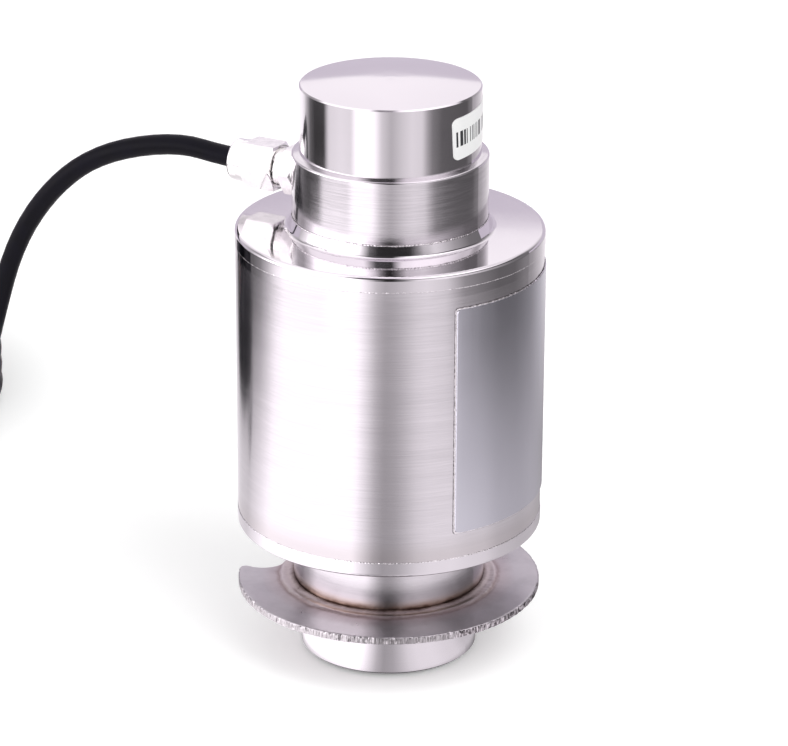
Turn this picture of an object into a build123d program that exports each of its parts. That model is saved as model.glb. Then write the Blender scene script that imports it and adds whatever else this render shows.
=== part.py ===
from build123d import *
from math import cos, pi, radians, sin, sqrt, tan
import os

# Column load cell, in millimetres. +Z runs up the column, the foot's contact face lies at the origin,
# the cable gland points along -X and the name plate faces +X.

os.makedirs("parts", exist_ok=True)

# Column: one turned and milled piece of stainless steel
overall_height = 150.0
end_radius = 22.2
crown_radius = 180.0
foot_flat_radius = 6.0
head_flat_radius = 1.5
end_chamfer = 0.35
shoulder_radius = 24.1
neck_radius = 23.6
gauge_radius = 22.4
flat_reach = 17.5
head_height = 18.2
ledge_drop = 0.45
collar_length = 15.85
ledge_fillet = 0.5
neck_inside = 8.0
neck_taper = 3.0
flat_runout = 4.0

# Anti-rotation plate, welded round the neck
foot_reach = 16.9
disc_thickness = 2.0
disc_radius = 38.15
disc_edge_fillet = 0.35
disc_seat_radius = 22.9
notch_width = 27.5
notch_floor = 26.2
notch_corner = 6.3
notch_mouth_fillet = 1.6
disc_weld_width = 3.5
disc_weld_height = 0.9

# Housing: tube and two welded covers
disc_to_cover = 16.0
tube_radius = 38.0
tube_wall = 2.0
cover_overhang = 0.12
cover_thickness = 3.8
cover_edge_fillet = 1.0
cover_web = 1.2
cover_rim_width = 9.6
cover_spigot_depth = 3.5
cover_spigot_width = 2.4
hub_height = 2.9
hub_flare = 1.3
hub_fillet = 1.1

# Name plate on the tube and paper label on the head
plate_margin_above = 5.45
plate_margin_below = 6.75
plate_half_angle = 36.9
plate_sheet = 0.4
plate_corner = 1.0
label_height = 10.4
label_half_angle = 36.2
label_azimuth = 16.4
label_rise = 8.3
label_tilt = 3.0
label_sheet = 0.15
label_corner = 1.5

# Gland on the collar, pointing along -X
gland_across_flats = 11.3
boss_radius = 5.6
boss_clearance = 1.4
boss_face = 24.3
boss_seat = 22.8
boss_spigot_radius = 5.1
boss_spigot_length = 1.3
rear_thread_radius = 4.4
rear_thread_length = 2.2
seal_ring_thickness = 0.5
seal_ring_radius = 5.4
body_hex_length = 3.65
front_thread_radius = 4.7
front_thread_length = 8.2
gland_cable_bore = 2.8
cage_pocket_radius = 4.1
cage_pocket_depth = 5.6
cage_wall = 0.7
cage_reach = 3.6
cage_slots = 6
cage_slot_width = 0.9
nut_gap = 2.25
nut_hex_length = 8.8
nut_cone_length = 1.9
nut_end_length = 2.4
nut_end_radius = 5.25
nut_end_fillet = 0.8
hex_chamfer = 0.5

# Wiring channel from the gland down to the gauges
port_radius = 3.0
channel_radius = 1.5
channel_offset = 19.8
channel_overrun = 2.0

# Circuit board ring under the top cover, with its spacers, screws and trim resistors
board_inner_radius = 24.6
board_edge_gap = 1.0
board_thickness = 1.6
spacer_length = 8.0
board_fixings = 3
board_fixing_inset = 4.2
board_fixing_azimuth = 60.0
spacer_across_flats = 4.5
screw_radius = 1.25
screw_head_radius = 2.25
screw_head_height = 1.7
screw_head_fillet = 0.55
screw_bite_depth = 2.6
resistor_count = 4
resistor_radius = 1.4
resistor_length = 5.0
resistor_inset = 5.5
resistor_step_angle = 24.0

# Strain gauges, terminals and wires on the four flats
gauge_width = 6.0
gauge_length = 10.0
gauge_sheet = 0.1
gauge_corner = 0.75
terminal_width = 7.0
terminal_length = 4.0
terminal_thickness = 0.8
lead_radius = 0.4
lead_spacing = 0.96
lead_bend = 1.5
lead_landing_radius = 27.0
lead_dip_depth = 4.0
gauge_wire_radius = 0.25
gauge_wire_offset = 2.4
gauge_wire_landing = 26.4
gauge_wire_stand = 1.5
gauge_wire_bend = 0.65

# Cable: 12 m, put away in a round coil beside the column
cable_radius = 2.6
cable_length = 12000.0
landing_sag = 0.6
start_lift = 1.8
jacket_start = 31.0
coil_middle_radius = 45.0
coil_columns = 7
coil_slack = 0.1
coil_rounding = 1.9
coil_tail = 26.0
coil_tail_overlap = 3.0
tie_count = 3
tie_thickness = 1.2
tie_width = 4.6
tie_gap = 0.15
tie_azimuth = 20.0
tie_head_out = 3.6
tie_head_across = 6.4
tie_head_high = 5.6
tie_tail = 6.0
end_azimuth = 315.0
end_dive = -38.0
end_rise = -19.0
end_level = -8.0
sleeve_wall = 0.1
sleeve_fillet = 0.8
sleeve_length = 22.0
core_radius = 0.6
core_length = 22.0
core_spread = 2.1
core_spacing = 1.5
core_straight = 7.0
core_colours = ("red", "black", "green", "white")

# Clearances of the fits
slip_gap = 0.02
thread_gap = 0.02

# Heights that follow from the sizes above
disc_top = foot_reach + disc_thickness
tube_bottom = disc_top + disc_to_cover + cover_thickness
bottom_cover_face = tube_bottom - cover_thickness
bottom_hub_tip = bottom_cover_face - hub_height
head_foot = overall_height - head_height
collar_top = head_foot - ledge_drop
top_hub_tip = collar_top - collar_length
top_cover_face = top_hub_tip - hub_height
tube_top = top_cover_face - cover_thickness
tube_length = tube_top - tube_bottom
gland_height = top_hub_tip + boss_clearance + boss_radius
label_middle = head_foot + label_rise
plate_height = tube_length - plate_margin_above - plate_margin_below
plate_middle = tube_bottom + plate_margin_below + plate_height / 2
gauge_top = tube_top - neck_inside
gauge_bottom = tube_bottom + neck_inside
gauge_middle = (gauge_top + gauge_bottom) / 2
flat_length = gauge_top - gauge_bottom
gauge_gap = (flat_length - 2 * flat_runout - terminal_length - gauge_width - gauge_length) / 4
terminal_height = gauge_bottom + flat_runout + gauge_gap + terminal_length / 2
cross_gauge_height = terminal_height + terminal_length / 2 + gauge_gap + gauge_width / 2
axial_gauge_height = cross_gauge_height + gauge_width / 2 + gauge_gap + gauge_length / 2
crown_edge = end_radius - end_chamfer
crown_depth = crown_radius - sqrt(crown_radius**2 - crown_edge**2)
foot_sag = crown_depth - crown_radius + sqrt(crown_radius**2 - foot_flat_radius**2)
head_sag = crown_depth - crown_radius + sqrt(crown_radius**2 - head_flat_radius**2)
board_top = tube_top - spacer_length
board_bottom = board_top - board_thickness
tube_bore = tube_radius - tube_wall
board_outer_radius = tube_bore - board_edge_gap
board_fixing_radius = board_outer_radius - board_fixing_inset


def upright(azimuth, origin=(0, 0, 0)):
    """A vertical plane through origin: local x runs outwards at the azimuth, local y runs up."""
    out = Vector(cos(radians(azimuth)), sin(radians(azimuth)), 0)
    return Plane(origin=origin, x_dir=out, z_dir=out.cross(Vector(0, 0, 1)))


def outward(azimuth, reach, height):
    """A plane that faces outwards at the azimuth, with local x horizontal and local y up."""
    out = Vector(cos(radians(azimuth)), sin(radians(azimuth)), 0)
    centre = out * reach + Vector(0, 0, height)
    return Plane(origin=centre, x_dir=Vector(0, 0, 1).cross(out), z_dir=out)


def gland_plane(reach):
    """The plane across the gland's axis at this distance from the column's axis."""
    return outward(180.0, reach, gland_height)


def finish(piece, name):
    """Label the finished piece and write it."""
    piece.part.label = name
    export_step(piece.part, f"parts/{name}.step")


# Column
with BuildPart() as load_column:
    with BuildSketch(Plane.XZ):
        with BuildLine():
            foot_face = Line((0, 0), (foot_flat_radius, 0))
            foot_crown = RadiusArc(foot_face @ 1, (crown_edge, foot_sag), -crown_radius)
            foot_edge = Line(foot_crown @ 1, (end_radius, foot_sag + end_chamfer))
            lower = Polyline(
                foot_edge @ 1,
                (end_radius, foot_reach),
                (disc_seat_radius, foot_reach),
                (disc_seat_radius, disc_top),
                (shoulder_radius, disc_top),
                (shoulder_radius, bottom_hub_tip),
                (neck_radius, bottom_hub_tip),
                (neck_radius, gauge_bottom - neck_taper),
                (gauge_radius, gauge_bottom),
                (gauge_radius, gauge_top),
                (neck_radius, gauge_top + neck_taper),
                (neck_radius, top_hub_tip),
                (shoulder_radius, top_hub_tip),
                (shoulder_radius, collar_top),
                (end_radius, head_foot),
                (end_radius, overall_height - head_sag - end_chamfer),
                (crown_edge, overall_height - head_sag),
            )
            head_crown = RadiusArc(lower @ 1, (head_flat_radius, overall_height), -crown_radius)
            Polyline(head_crown @ 1, (0, overall_height), (0, 0))
        make_face()
        fillet(vertices().sort_by_distance((shoulder_radius, collar_top))[0], ledge_fillet)
    revolve(axis=Axis.Z)
    # four flats for the gauges
    for quarter in range(4):
        with BuildSketch(upright(quarter * 90.0)):
            with Locations((flat_reach + shoulder_radius / 2, gauge_middle)):
                RectangleRounded(shoulder_radius, flat_length, flat_runout)
        extrude(amount=shoulder_radius, both=True, mode=Mode.SUBTRACT)
    # seat, spigot bore and wire port of the gland boss
    port_end = channel_offset - channel_radius
    for reach, radius, depth in (
        (boss_seat, boss_radius + slip_gap, shoulder_radius),
        (boss_seat - boss_spigot_length, boss_spigot_radius + slip_gap, boss_spigot_length),
        (port_end, port_radius, boss_seat - boss_spigot_length - port_end),
    ):
        with BuildSketch(gland_plane(reach)):
            Circle(radius)
        extrude(amount=depth, mode=Mode.SUBTRACT)
    # channel down to the gauges
    with BuildSketch(Plane.XY.offset(gauge_top - channel_overrun)):
        with Locations((-channel_offset, 0)):
            Circle(channel_radius)
    extrude(amount=gland_height - gauge_top + channel_overrun, mode=Mode.SUBTRACT)
finish(load_column, "load_column")


def cover(face, tube_end):
    """A cap with a stiff rim, a thin web and a hub; face and tube_end are heights."""
    up = 1 if face > tube_end else -1
    rim_inner = tube_radius + cover_overhang - cover_rim_width
    spigot_outer = tube_bore - slip_gap
    bore = neck_radius + slip_gap
    with BuildPart() as cap:
        with BuildSketch(Plane.XZ):
            with BuildLine():
                Polyline(
                    (bore, face - up * cover_web),
                    (rim_inner, face - up * cover_web),
                    (rim_inner, tube_end),
                    (spigot_outer - cover_spigot_width, tube_end),
                    (spigot_outer - cover_spigot_width, tube_end - up * cover_spigot_depth),
                    (spigot_outer, tube_end - up * cover_spigot_depth),
                    (spigot_outer, tube_end),
                    (tube_radius + cover_overhang, tube_end),
                    (tube_radius + cover_overhang, face),
                    (shoulder_radius + hub_flare, face),
                    (shoulder_radius, face + up * hub_height),
                    (bore, face + up * hub_height),
                    close=True,
                )
            make_face()
            fillet(vertices().sort_by_distance((tube_radius + cover_overhang, face))[0], cover_edge_fillet)
            fillet(vertices().sort_by_distance((shoulder_radius + hub_flare, face))[0], hub_fillet)
        revolve(axis=Axis.Z)
        if up > 0:
            # blind holes for the board's screws
            with BuildSketch(Plane.XY.offset(tube_end)):
                with PolarLocations(board_fixing_radius, board_fixings, board_fixing_azimuth):
                    Circle(screw_radius + thread_gap)
            extrude(amount=screw_bite_depth + thread_gap, mode=Mode.SUBTRACT)
    return cap


finish(cover(top_cover_face, tube_top), "top_cover")
finish(cover(bottom_cover_face, tube_bottom), "bottom_cover")

with BuildPart() as housing_tube:
    with BuildSketch(Plane.XY.offset(tube_bottom)):
        Circle(tube_radius)
        Circle(tube_bore, mode=Mode.SUBTRACT)
    extrude(amount=tube_length)
finish(housing_tube, "housing_tube")

# Anti-rotation plate with its weld and its notch, which lies under the gland
with BuildPart() as anti_rotation_plate:
    with BuildSketch(Plane.XY.offset(foot_reach)):
        Circle(disc_radius)
        Circle(disc_seat_radius + slip_gap, mode=Mode.SUBTRACT)
        with Locations((-notch_floor - disc_radius / 2, 0)):
            RectangleRounded(disc_radius, notch_width, notch_corner, mode=Mode.SUBTRACT)
        fillet(vertices().sort_by(Axis.X)[:2], notch_mouth_fillet)
    extrude(amount=disc_thickness)
    fillet(faces().sort_by(Axis.Z)[0].outer_wire().edges(), disc_edge_fillet)
    fillet(faces().sort_by(Axis.Z)[-1].outer_wire().edges(), disc_edge_fillet)
    with BuildSketch(Plane.XZ):
        with BuildLine():
            weld_foot = shoulder_radius + slip_gap
            weld_toe = weld_foot + disc_weld_width
            Line((weld_foot, disc_top), (weld_foot, disc_top + disc_weld_height))
            Spline(
                (weld_foot, disc_top + disc_weld_height),
                (weld_foot + disc_weld_width / 2, disc_top + disc_weld_height * 0.75),
                (weld_toe, disc_top),
            )
            Line((weld_toe, disc_top), (weld_foot, disc_top))
        make_face()
    revolve(axis=Axis.Z)
    with BuildSketch(Plane.XY.offset(disc_top)):
        with Locations((-notch_floor - disc_radius / 2, 0)):
            Rectangle(disc_radius, notch_width)
    extrude(amount=disc_weld_height, mode=Mode.SUBTRACT)
finish(anti_rotation_plate, "anti_rotation_plate")

# Name plate: a sheet rolled to the tube
with BuildPart() as name_plate:
    with BuildSketch(Plane.XY.offset(plate_middle - plate_height / 2)):
        Circle(tube_radius + plate_sheet)
        Circle(tube_radius, mode=Mode.SUBTRACT)
    extrude(amount=plate_height)
    with BuildSketch(outward(0.0, 0, plate_middle)):
        RectangleRounded(2 * tube_radius * sin(radians(plate_half_angle)), plate_height, plate_corner)
    extrude(amount=2 * tube_radius, mode=Mode.INTERSECT)
finish(name_plate, "name_plate")

# Paper label on the head
with BuildPart() as bar_label:
    with BuildSketch(Plane.XY.offset(head_foot)):
        Circle(end_radius + label_sheet)
        Circle(end_radius, mode=Mode.SUBTRACT)
    extrude(amount=head_height - head_sag - end_chamfer)
    with BuildSketch(outward(label_azimuth, 0, label_middle)):
        with Locations(Location((0, 0), label_tilt)):
            RectangleRounded(2 * end_radius * sin(radians(label_half_angle)), label_height, label_corner)
    extrude(amount=2 * end_radius, mode=Mode.INTERSECT)
finish(bar_label, "bar_label")

# Gland: boss, seal ring, body, cage, rubber seal and dome nut
hex_radius = gland_across_flats / sqrt(3)
body_back = boss_face + seal_ring_thickness
body_front = body_back + body_hex_length
thread_front = body_front + front_thread_length
nut_back = body_front + nut_gap
nut_cone_start = nut_back + nut_hex_length
nut_end_start = nut_cone_start + nut_cone_length
nut_front = nut_end_start + nut_end_length
cage_back = thread_front - cage_pocket_depth
cage_front = thread_front + cage_reach
cage_radius = cage_pocket_radius - slip_gap

with BuildPart() as gland_boss:
    with BuildSketch(gland_plane(boss_seat - boss_spigot_length)):
        Circle(boss_spigot_radius)
    extrude(amount=boss_spigot_length)
    with BuildSketch(gland_plane(boss_seat)):
        Circle(boss_radius)
    extrude(amount=boss_face - boss_seat)
    chamfer(faces().sort_by(Axis.X)[0].edges(), hex_chamfer)
    with BuildSketch(gland_plane(boss_face - rear_thread_length - thread_gap)):
        Circle(rear_thread_radius + thread_gap)
    extrude(amount=rear_thread_length + thread_gap, mode=Mode.SUBTRACT)
    with BuildSketch(gland_plane(boss_seat - boss_spigot_length)):
        Circle(port_radius)
    extrude(amount=boss_face - boss_seat + boss_spigot_length, mode=Mode.SUBTRACT)
finish(gland_boss, "gland_boss")

with BuildPart() as gland_seal_ring:
    with BuildSketch(gland_plane(boss_face)):
        Circle(seal_ring_radius)
        Circle(rear_thread_radius + slip_gap, mode=Mode.SUBTRACT)
    extrude(amount=seal_ring_thickness)
finish(gland_seal_ring, "gland_seal_ring")


gland_axis = Axis((0, 0, gland_height), (1, 0, 0))
face_radius = gland_across_flats / 2 - hex_chamfer / 4


def hexagon(back, front):
    """A hexagon along the gland's axis, two flats level, its corners turned off at both ends."""
    with BuildPart() as bar:
        with BuildSketch(gland_plane(back)):
            RegularPolygon(hex_radius, 6)
        extrude(amount=front - back)
        with BuildSketch(Plane.XZ):
            with BuildLine():
                Polyline(
                    (-back, gland_height),
                    (-back, gland_height + face_radius),
                    (-back - hex_chamfer, gland_height + hex_radius),
                    (-front + hex_chamfer, gland_height + hex_radius),
                    (-front, gland_height + face_radius),
                    (-front, gland_height),
                    close=True,
                )
            make_face()
        revolve(axis=gland_axis, mode=Mode.INTERSECT)
    return bar.part


body_hexagon = hexagon(body_back, body_front)
nut_hexagon = hexagon(nut_back, nut_cone_start)

with BuildPart() as gland_body:
    add(body_hexagon)
    with BuildSketch(gland_plane(body_back - seal_ring_thickness - rear_thread_length)):
        Circle(rear_thread_radius)
    extrude(amount=rear_thread_length + seal_ring_thickness)
    with BuildSketch(gland_plane(body_front)):
        Circle(front_thread_radius)
    extrude(amount=front_thread_length)
    with BuildSketch(gland_plane(body_back - seal_ring_thickness - rear_thread_length)):
        Circle(gland_cable_bore)
    extrude(amount=thread_front, mode=Mode.SUBTRACT)
    with BuildSketch(gland_plane(cage_back)):
        Circle(cage_pocket_radius)
    extrude(amount=cage_pocket_depth, mode=Mode.SUBTRACT)
finish(gland_body, "gland_body")

with BuildPart() as gland_cage:
    with BuildSketch(gland_plane(cage_back)):
        Circle(cage_radius)
        Circle(cage_radius - cage_wall, mode=Mode.SUBTRACT)
    extrude(amount=cage_front - cage_back)
    with BuildSketch(gland_plane(thread_front)):
        with PolarLocations(cage_radius, cage_slots):
            Rectangle(cage_radius, cage_slot_width)
    extrude(amount=cage_reach, mode=Mode.SUBTRACT)
finish(gland_cage, "gland_cage")

with BuildPart() as gland_seal:
    with BuildSketch(gland_plane(cage_back)):
        Circle(cage_radius - cage_wall - slip_gap)
        Circle(cable_radius + slip_gap, mode=Mode.SUBTRACT)
    extrude(amount=cage_front - cage_back)
finish(gland_seal, "gland_seal")

with BuildPart() as gland_nut:
    add(nut_hexagon)
    with BuildSketch(Plane.XZ):
        with BuildLine():
            Polyline(
                (-nut_cone_start, gland_height),
                (-nut_cone_start, gland_height + face_radius),
                (-nut_end_start, gland_height + nut_end_radius),
                (-nut_front, gland_height + nut_end_radius),
                (-nut_front, gland_height),
                close=True,
            )
        make_face()
        mouth = vertices().sort_by_distance((-nut_front, gland_height + nut_end_radius))[0]
        fillet(mouth, nut_end_fillet)
    revolve(axis=gland_axis)
    with BuildSketch(gland_plane(nut_back)):
        Circle(front_thread_radius + thread_gap)
    extrude(amount=thread_front - nut_back + thread_gap, mode=Mode.SUBTRACT)
    with BuildSketch(gland_plane(thread_front)):
        Circle(cage_radius + slip_gap)
    extrude(amount=cage_reach + slip_gap, mode=Mode.SUBTRACT)
    with BuildSketch(gland_plane(thread_front)):
        Circle(gland_cable_bore)
    extrude(amount=nut_front - thread_front, mode=Mode.SUBTRACT)
finish(gland_nut, "gland_nut")

# Circuit board ring and what holds it
with BuildPart() as circuit_board:
    with BuildSketch(Plane.XY.offset(board_bottom)):
        Circle(board_outer_radius)
        Circle(board_inner_radius, mode=Mode.SUBTRACT)
        with PolarLocations(board_fixing_radius, board_fixings, board_fixing_azimuth):
            Circle(screw_radius + slip_gap, mode=Mode.SUBTRACT)
    extrude(amount=board_thickness)
finish(circuit_board, "circuit_board")

with BuildPart() as board_spacers:
    with BuildSketch(Plane.XY.offset(board_top)):
        with PolarLocations(board_fixing_radius, board_fixings, board_fixing_azimuth):
            RegularPolygon(spacer_across_flats / 2, 6, major_radius=False)
            Circle(screw_radius + slip_gap, mode=Mode.SUBTRACT)
    extrude(amount=spacer_length)
finish(board_spacers, "board_spacers")

with BuildPart() as board_screws:
    with BuildSketch(Plane.XY.offset(board_bottom)):
        with PolarLocations(board_fixing_radius, board_fixings, board_fixing_azimuth):
            Circle(screw_radius)
    extrude(amount=board_thickness + spacer_length + screw_bite_depth)
    with BuildSketch(Plane.XY.offset(board_bottom - screw_head_height)):
        with PolarLocations(board_fixing_radius, board_fixings, board_fixing_azimuth):
            Circle(screw_head_radius)
    extrude(amount=screw_head_height)
    fillet(faces().group_by(Axis.Z)[0].edges(), screw_head_fillet)
finish(board_screws, "board_screws")

with BuildPart() as trim_resistors:
    for index in range(resistor_count):
        azimuth = (index - (resistor_count - 1) / 2) * resistor_step_angle
        with BuildSketch(upright(azimuth)):
            with Locations((board_outer_radius - resistor_inset, board_bottom - resistor_radius)):
                Circle(resistor_radius)
        extrude(amount=resistor_length / 2, both=True)
finish(trim_resistors, "trim_resistors")

# Strain gauges: one along and one across the column on each flat, with a terminal pad below them
for name, width, length, height in (
    ("axial_gauges", gauge_width, gauge_length, axial_gauge_height),
    ("cross_gauges", gauge_length, gauge_width, cross_gauge_height),
):
    with BuildPart() as gauges:
        for quarter in range(4):
            with BuildSketch(outward(quarter * 90.0, flat_reach, height)):
                RectangleRounded(width, length, gauge_corner)
            extrude(amount=gauge_sheet)
    finish(gauges, name)

with BuildPart() as terminal_pads:
    for quarter in range(4):
        with BuildSketch(outward(quarter * 90.0, flat_reach, terminal_height)):
            Rectangle(terminal_width, terminal_length)
        extrude(amount=terminal_thickness)
finish(terminal_pads, "terminal_pads")


def wire(points, bend, radius):
    """One round wire along straight runs joined by arcs, from the first point to the last."""
    with BuildPart() as strand:
        with BuildLine() as path:
            FilletPolyline(*points, radius=bend)
        line = path.line
        with BuildSketch(Plane(origin=line @ 0, z_dir=line % 0)):
            Circle(radius)
        sweep(path=line)
    return strand.part


def in_azimuth(azimuth, out, across, height):
    """A point at this azimuth: distance out, distance across to the left, and height."""
    turn = radians(azimuth)
    return (out * cos(turn) - across * sin(turn), out * sin(turn) + across * cos(turn), height)


# Wires from each terminal pad up to the board
pad_face = flat_reach + terminal_thickness
wire_lift = pad_face + gauge_wire_stand
wire_climb = gauge_wire_landing - wire_lift
strands = []
for quarter in range(4):
    for across in (-gauge_wire_offset, gauge_wire_offset):
        points = [
            in_azimuth(quarter * 90.0, pad_face, across, terminal_height),
            in_azimuth(quarter * 90.0, wire_lift, across, terminal_height),
            in_azimuth(quarter * 90.0, wire_lift, across, board_bottom - 2 * wire_climb),
            in_azimuth(quarter * 90.0, gauge_wire_landing, across, board_bottom - wire_climb / 2),
            in_azimuth(quarter * 90.0, gauge_wire_landing, across, board_bottom),
        ]
        strands.append(wire(points, gauge_wire_bend, gauge_wire_radius))
with BuildPart() as gauge_wires:
    add(strands)
finish(gauge_wires, "gauge_wires")

# The cable's four cores inside the column, from the gland to the board
lead_low = gauge_top - channel_overrun - lead_dip_depth
leads = []
for shift in (-lead_spacing / 2, lead_spacing / 2):
    for across in (-lead_spacing / 2, lead_spacing / 2):
        points = [
            (-jacket_start, across, gland_height + shift),
            (shift - channel_offset, across, gland_height + shift),
            (shift - channel_offset, across, lead_low - shift),
            (-shift - lead_landing_radius, across, lead_low - shift),
            (-shift - lead_landing_radius, across, board_bottom),
        ]
        leads.append(wire(points, lead_bend, lead_radius))
with BuildPart() as inner_leads:
    add(leads)
finish(inner_leads, "inner_leads")

# Cable: its route by hand, out of the gland, drooping to the floor and up to the coil
turn_height = tie_thickness + coil_slack + cable_radius
cable_route = [
    (-jacket_start, 0, gland_height),
    (-46.5, 0, gland_height),
    (-61, 0, gland_height + start_lift),
    (-83, -0.5, 118.2),
    (-98, -1, 107),
    (-110, -1.5, 90),
    (-117, -2, 68),
    (-123, -2.5, 45),
    (-131, -3.5, 24),
    (-144, -4.5, 9),
    (-161, -5, turn_height - landing_sag),
    (-187, -5, turn_height),
    (-211, -4, turn_height),
]


def arc_radii(points, share=0.45):
    """At each inner point, the radius of the arc that takes this share of the shorter run."""
    radii = []
    for before, here, after in zip(points, points[1:], points[2:]):
        run_in, run_out = Vector(here) - Vector(before), Vector(after) - Vector(here)
        half_turn = radians(run_in.get_angle(run_out) / 2)
        radii.append(share * min(run_in.length, run_out.length) / tan(half_turn))
    return radii


bends = arc_radii(cable_route)
print("cable bend radii", [round(bend, 1) for bend in bends])
with BuildPart() as cable_run:
    with BuildLine() as cable_path:
        FilletPolyline(*cable_route, radius=bends)
    route_line = cable_path.wire()
    with BuildSketch(Plane(origin=route_line @ 0, z_dir=route_line % 0)):
        Circle(cable_radius)
    sweep(path=route_line)
run_length = route_line.length
print("cable run", round(run_length, 1), "volume ratio",
      round(cable_run.part.volume / (pi * cable_radius**2 * run_length), 5))
finish(cable_run, "cable_run")

# Coil, wound clockwise as seen from above: the outer shape of its turns, with the tail that meets the run
cable_pitch = 2 * cable_radius
layer_length = 2 * pi * coil_middle_radius * coil_columns
coil_rows = round((cable_length - run_length) / layer_length)
coil_band = coil_columns * cable_pitch / 2 + coil_slack
coil_outer = coil_middle_radius + coil_band
coil_inner = coil_middle_radius - coil_band
coil_height = coil_rows * cable_pitch + 2 * coil_slack
coil_top = tie_thickness + coil_height
outer_turn = coil_middle_radius + (coil_columns - 1) * cable_radius
run_end = Vector(cable_route[-1])
heading = (run_end - Vector(cable_route[-2])).normalized()
tangent_point = run_end + heading * coil_tail
coil_centre = tangent_point + heading.cross(Vector(0, 0, 1)) * outer_turn
coil_centre = Vector(coil_centre.X, coil_centre.Y, 0)
print("coil layers", coil_rows, "whole cable", round(run_length + layer_length * coil_rows))
print("coil centre", coil_centre)


def on_coil(azimuth, out, along, height):
    """A point on the coil: out from its centre at the clockwise azimuth, along the turns, and height."""
    return coil_centre + Vector(*in_azimuth(-azimuth, out, -along, height))


end_height = coil_top + cable_radius + sleeve_wall
sleeve_start = on_coil(end_azimuth, coil_middle_radius, end_level, end_height)
end_heading = (on_coil(end_azimuth, coil_middle_radius, 0, end_height) - sleeve_start).normalized()

end_stub = wire(
    [
        sleeve_start,
        on_coil(end_azimuth, coil_middle_radius, end_rise, end_height),
        on_coil(end_azimuth, coil_middle_radius, end_dive, coil_top - cable_pitch),
    ],
    4 * cable_pitch,
    cable_radius,
)
with BuildPart() as cable_coil:
    with BuildSketch(upright(0.0, coil_centre)):
        with Locations((coil_middle_radius, tie_thickness + coil_height / 2)):
            RectangleRounded(coil_outer - coil_inner, coil_height, coil_rounding)
    revolve(axis=Axis(coil_centre, (0, 0, 1)))
    with BuildSketch(Plane(origin=run_end, z_dir=heading)):
        Circle(cable_radius)
    extrude(amount=coil_tail - coil_tail_overlap)
    add(end_stub)
finish(cable_coil, "cable_coil")

# Cable ties round the coil's section; the coil rests on them
with BuildPart() as cable_ties:
    for index in range(tie_count):
        azimuth = -tie_azimuth - index * 360.0 / tie_count
        with BuildSketch(upright(azimuth, coil_centre)):
            with Locations((coil_middle_radius, tie_thickness + coil_height / 2)):
                RectangleRounded(
                    coil_outer - coil_inner + 2 * tie_gap + 2 * tie_thickness,
                    coil_height + 2 * tie_thickness,
                    coil_rounding + tie_thickness,
                )
                RectangleRounded(
                    coil_outer - coil_inner + 2 * tie_gap, coil_height, coil_rounding, mode=Mode.SUBTRACT
                )
        extrude(amount=tie_width / 2, both=True)
        tie_head_foot = coil_outer + tie_gap + tie_thickness / 2
        tie_head_middle = tie_thickness + coil_height / 2
        with BuildSketch(upright(azimuth, coil_centre)):
            with Locations((tie_head_foot + tie_head_out / 2, tie_head_middle)):
                RectangleRounded(tie_head_out, tie_head_high, tie_thickness / 2)
        extrude(amount=tie_head_across / 2, both=True)
        with BuildSketch(upright(azimuth, coil_centre)):
            with Locations((tie_head_foot + tie_head_out / 2, tie_head_middle + tie_head_high / 2)):
                Rectangle(tie_thickness, 2 * tie_tail)
        extrude(amount=tie_width / 2, both=True)
finish(cable_ties, "cable_ties")

# Shrink sleeve over the jacket's end and the four bare-ended cores
with BuildPart() as cable_end_sleeve:
    with BuildSketch(Plane(origin=sleeve_start, z_dir=end_heading)):
        Circle(cable_radius + sleeve_wall)
    extrude(amount=sleeve_length)
    fillet(faces().sort_by(Axis(sleeve_start, end_heading))[-1].edges(), sleeve_fillet)
finish(cable_end_sleeve, "cable_end_sleeve")

sleeve_end = end_level + sleeve_length
core_places = zip(core_colours, (-1, -1, 1, 1), (1, -1, -1, 1), (-1.5, -0.5, 0.5, 1.5))
for colour, side, level, fan in core_places:
    out = coil_middle_radius + side * core_spacing / 2
    height = end_height + level * core_spacing / 2
    core_route = [
        on_coil(end_azimuth, out, sleeve_end, height),
        on_coil(end_azimuth, out, sleeve_end + core_straight, height),
        on_coil(
            end_azimuth,
            coil_middle_radius + fan * core_spread,
            sleeve_end + core_length,
            coil_top + core_radius + tie_gap,
        ),
    ]
    strand = wire(core_route, arc_radii(core_route), core_radius)
    with BuildPart() as core:
        add(strand)
    finish(core, f"core_{colour}")
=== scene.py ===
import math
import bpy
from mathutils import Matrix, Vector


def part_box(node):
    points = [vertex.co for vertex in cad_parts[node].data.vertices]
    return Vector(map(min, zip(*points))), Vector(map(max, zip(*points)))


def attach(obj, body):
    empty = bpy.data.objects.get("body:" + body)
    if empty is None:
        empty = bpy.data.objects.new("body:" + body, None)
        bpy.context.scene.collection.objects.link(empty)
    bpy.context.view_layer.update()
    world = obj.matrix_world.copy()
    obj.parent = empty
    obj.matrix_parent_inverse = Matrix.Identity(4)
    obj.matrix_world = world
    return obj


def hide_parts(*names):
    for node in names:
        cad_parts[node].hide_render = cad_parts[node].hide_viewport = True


bl_info = {
    "name": "Column Load Cell",
    "version": (1, 0, 0),
    "blender": (4, 5, 0),
    "location": "3D View > Sidebar > Load Cell",
    "description": "Dresses a packed column load cell with its welds, cable and steel finishes",
    "category": "Object",
}

import bmesh
import bpy
from bpy.props import FloatProperty, FloatVectorProperty, IntProperty, PointerProperty
from mathutils import Matrix, Vector, noise

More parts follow.
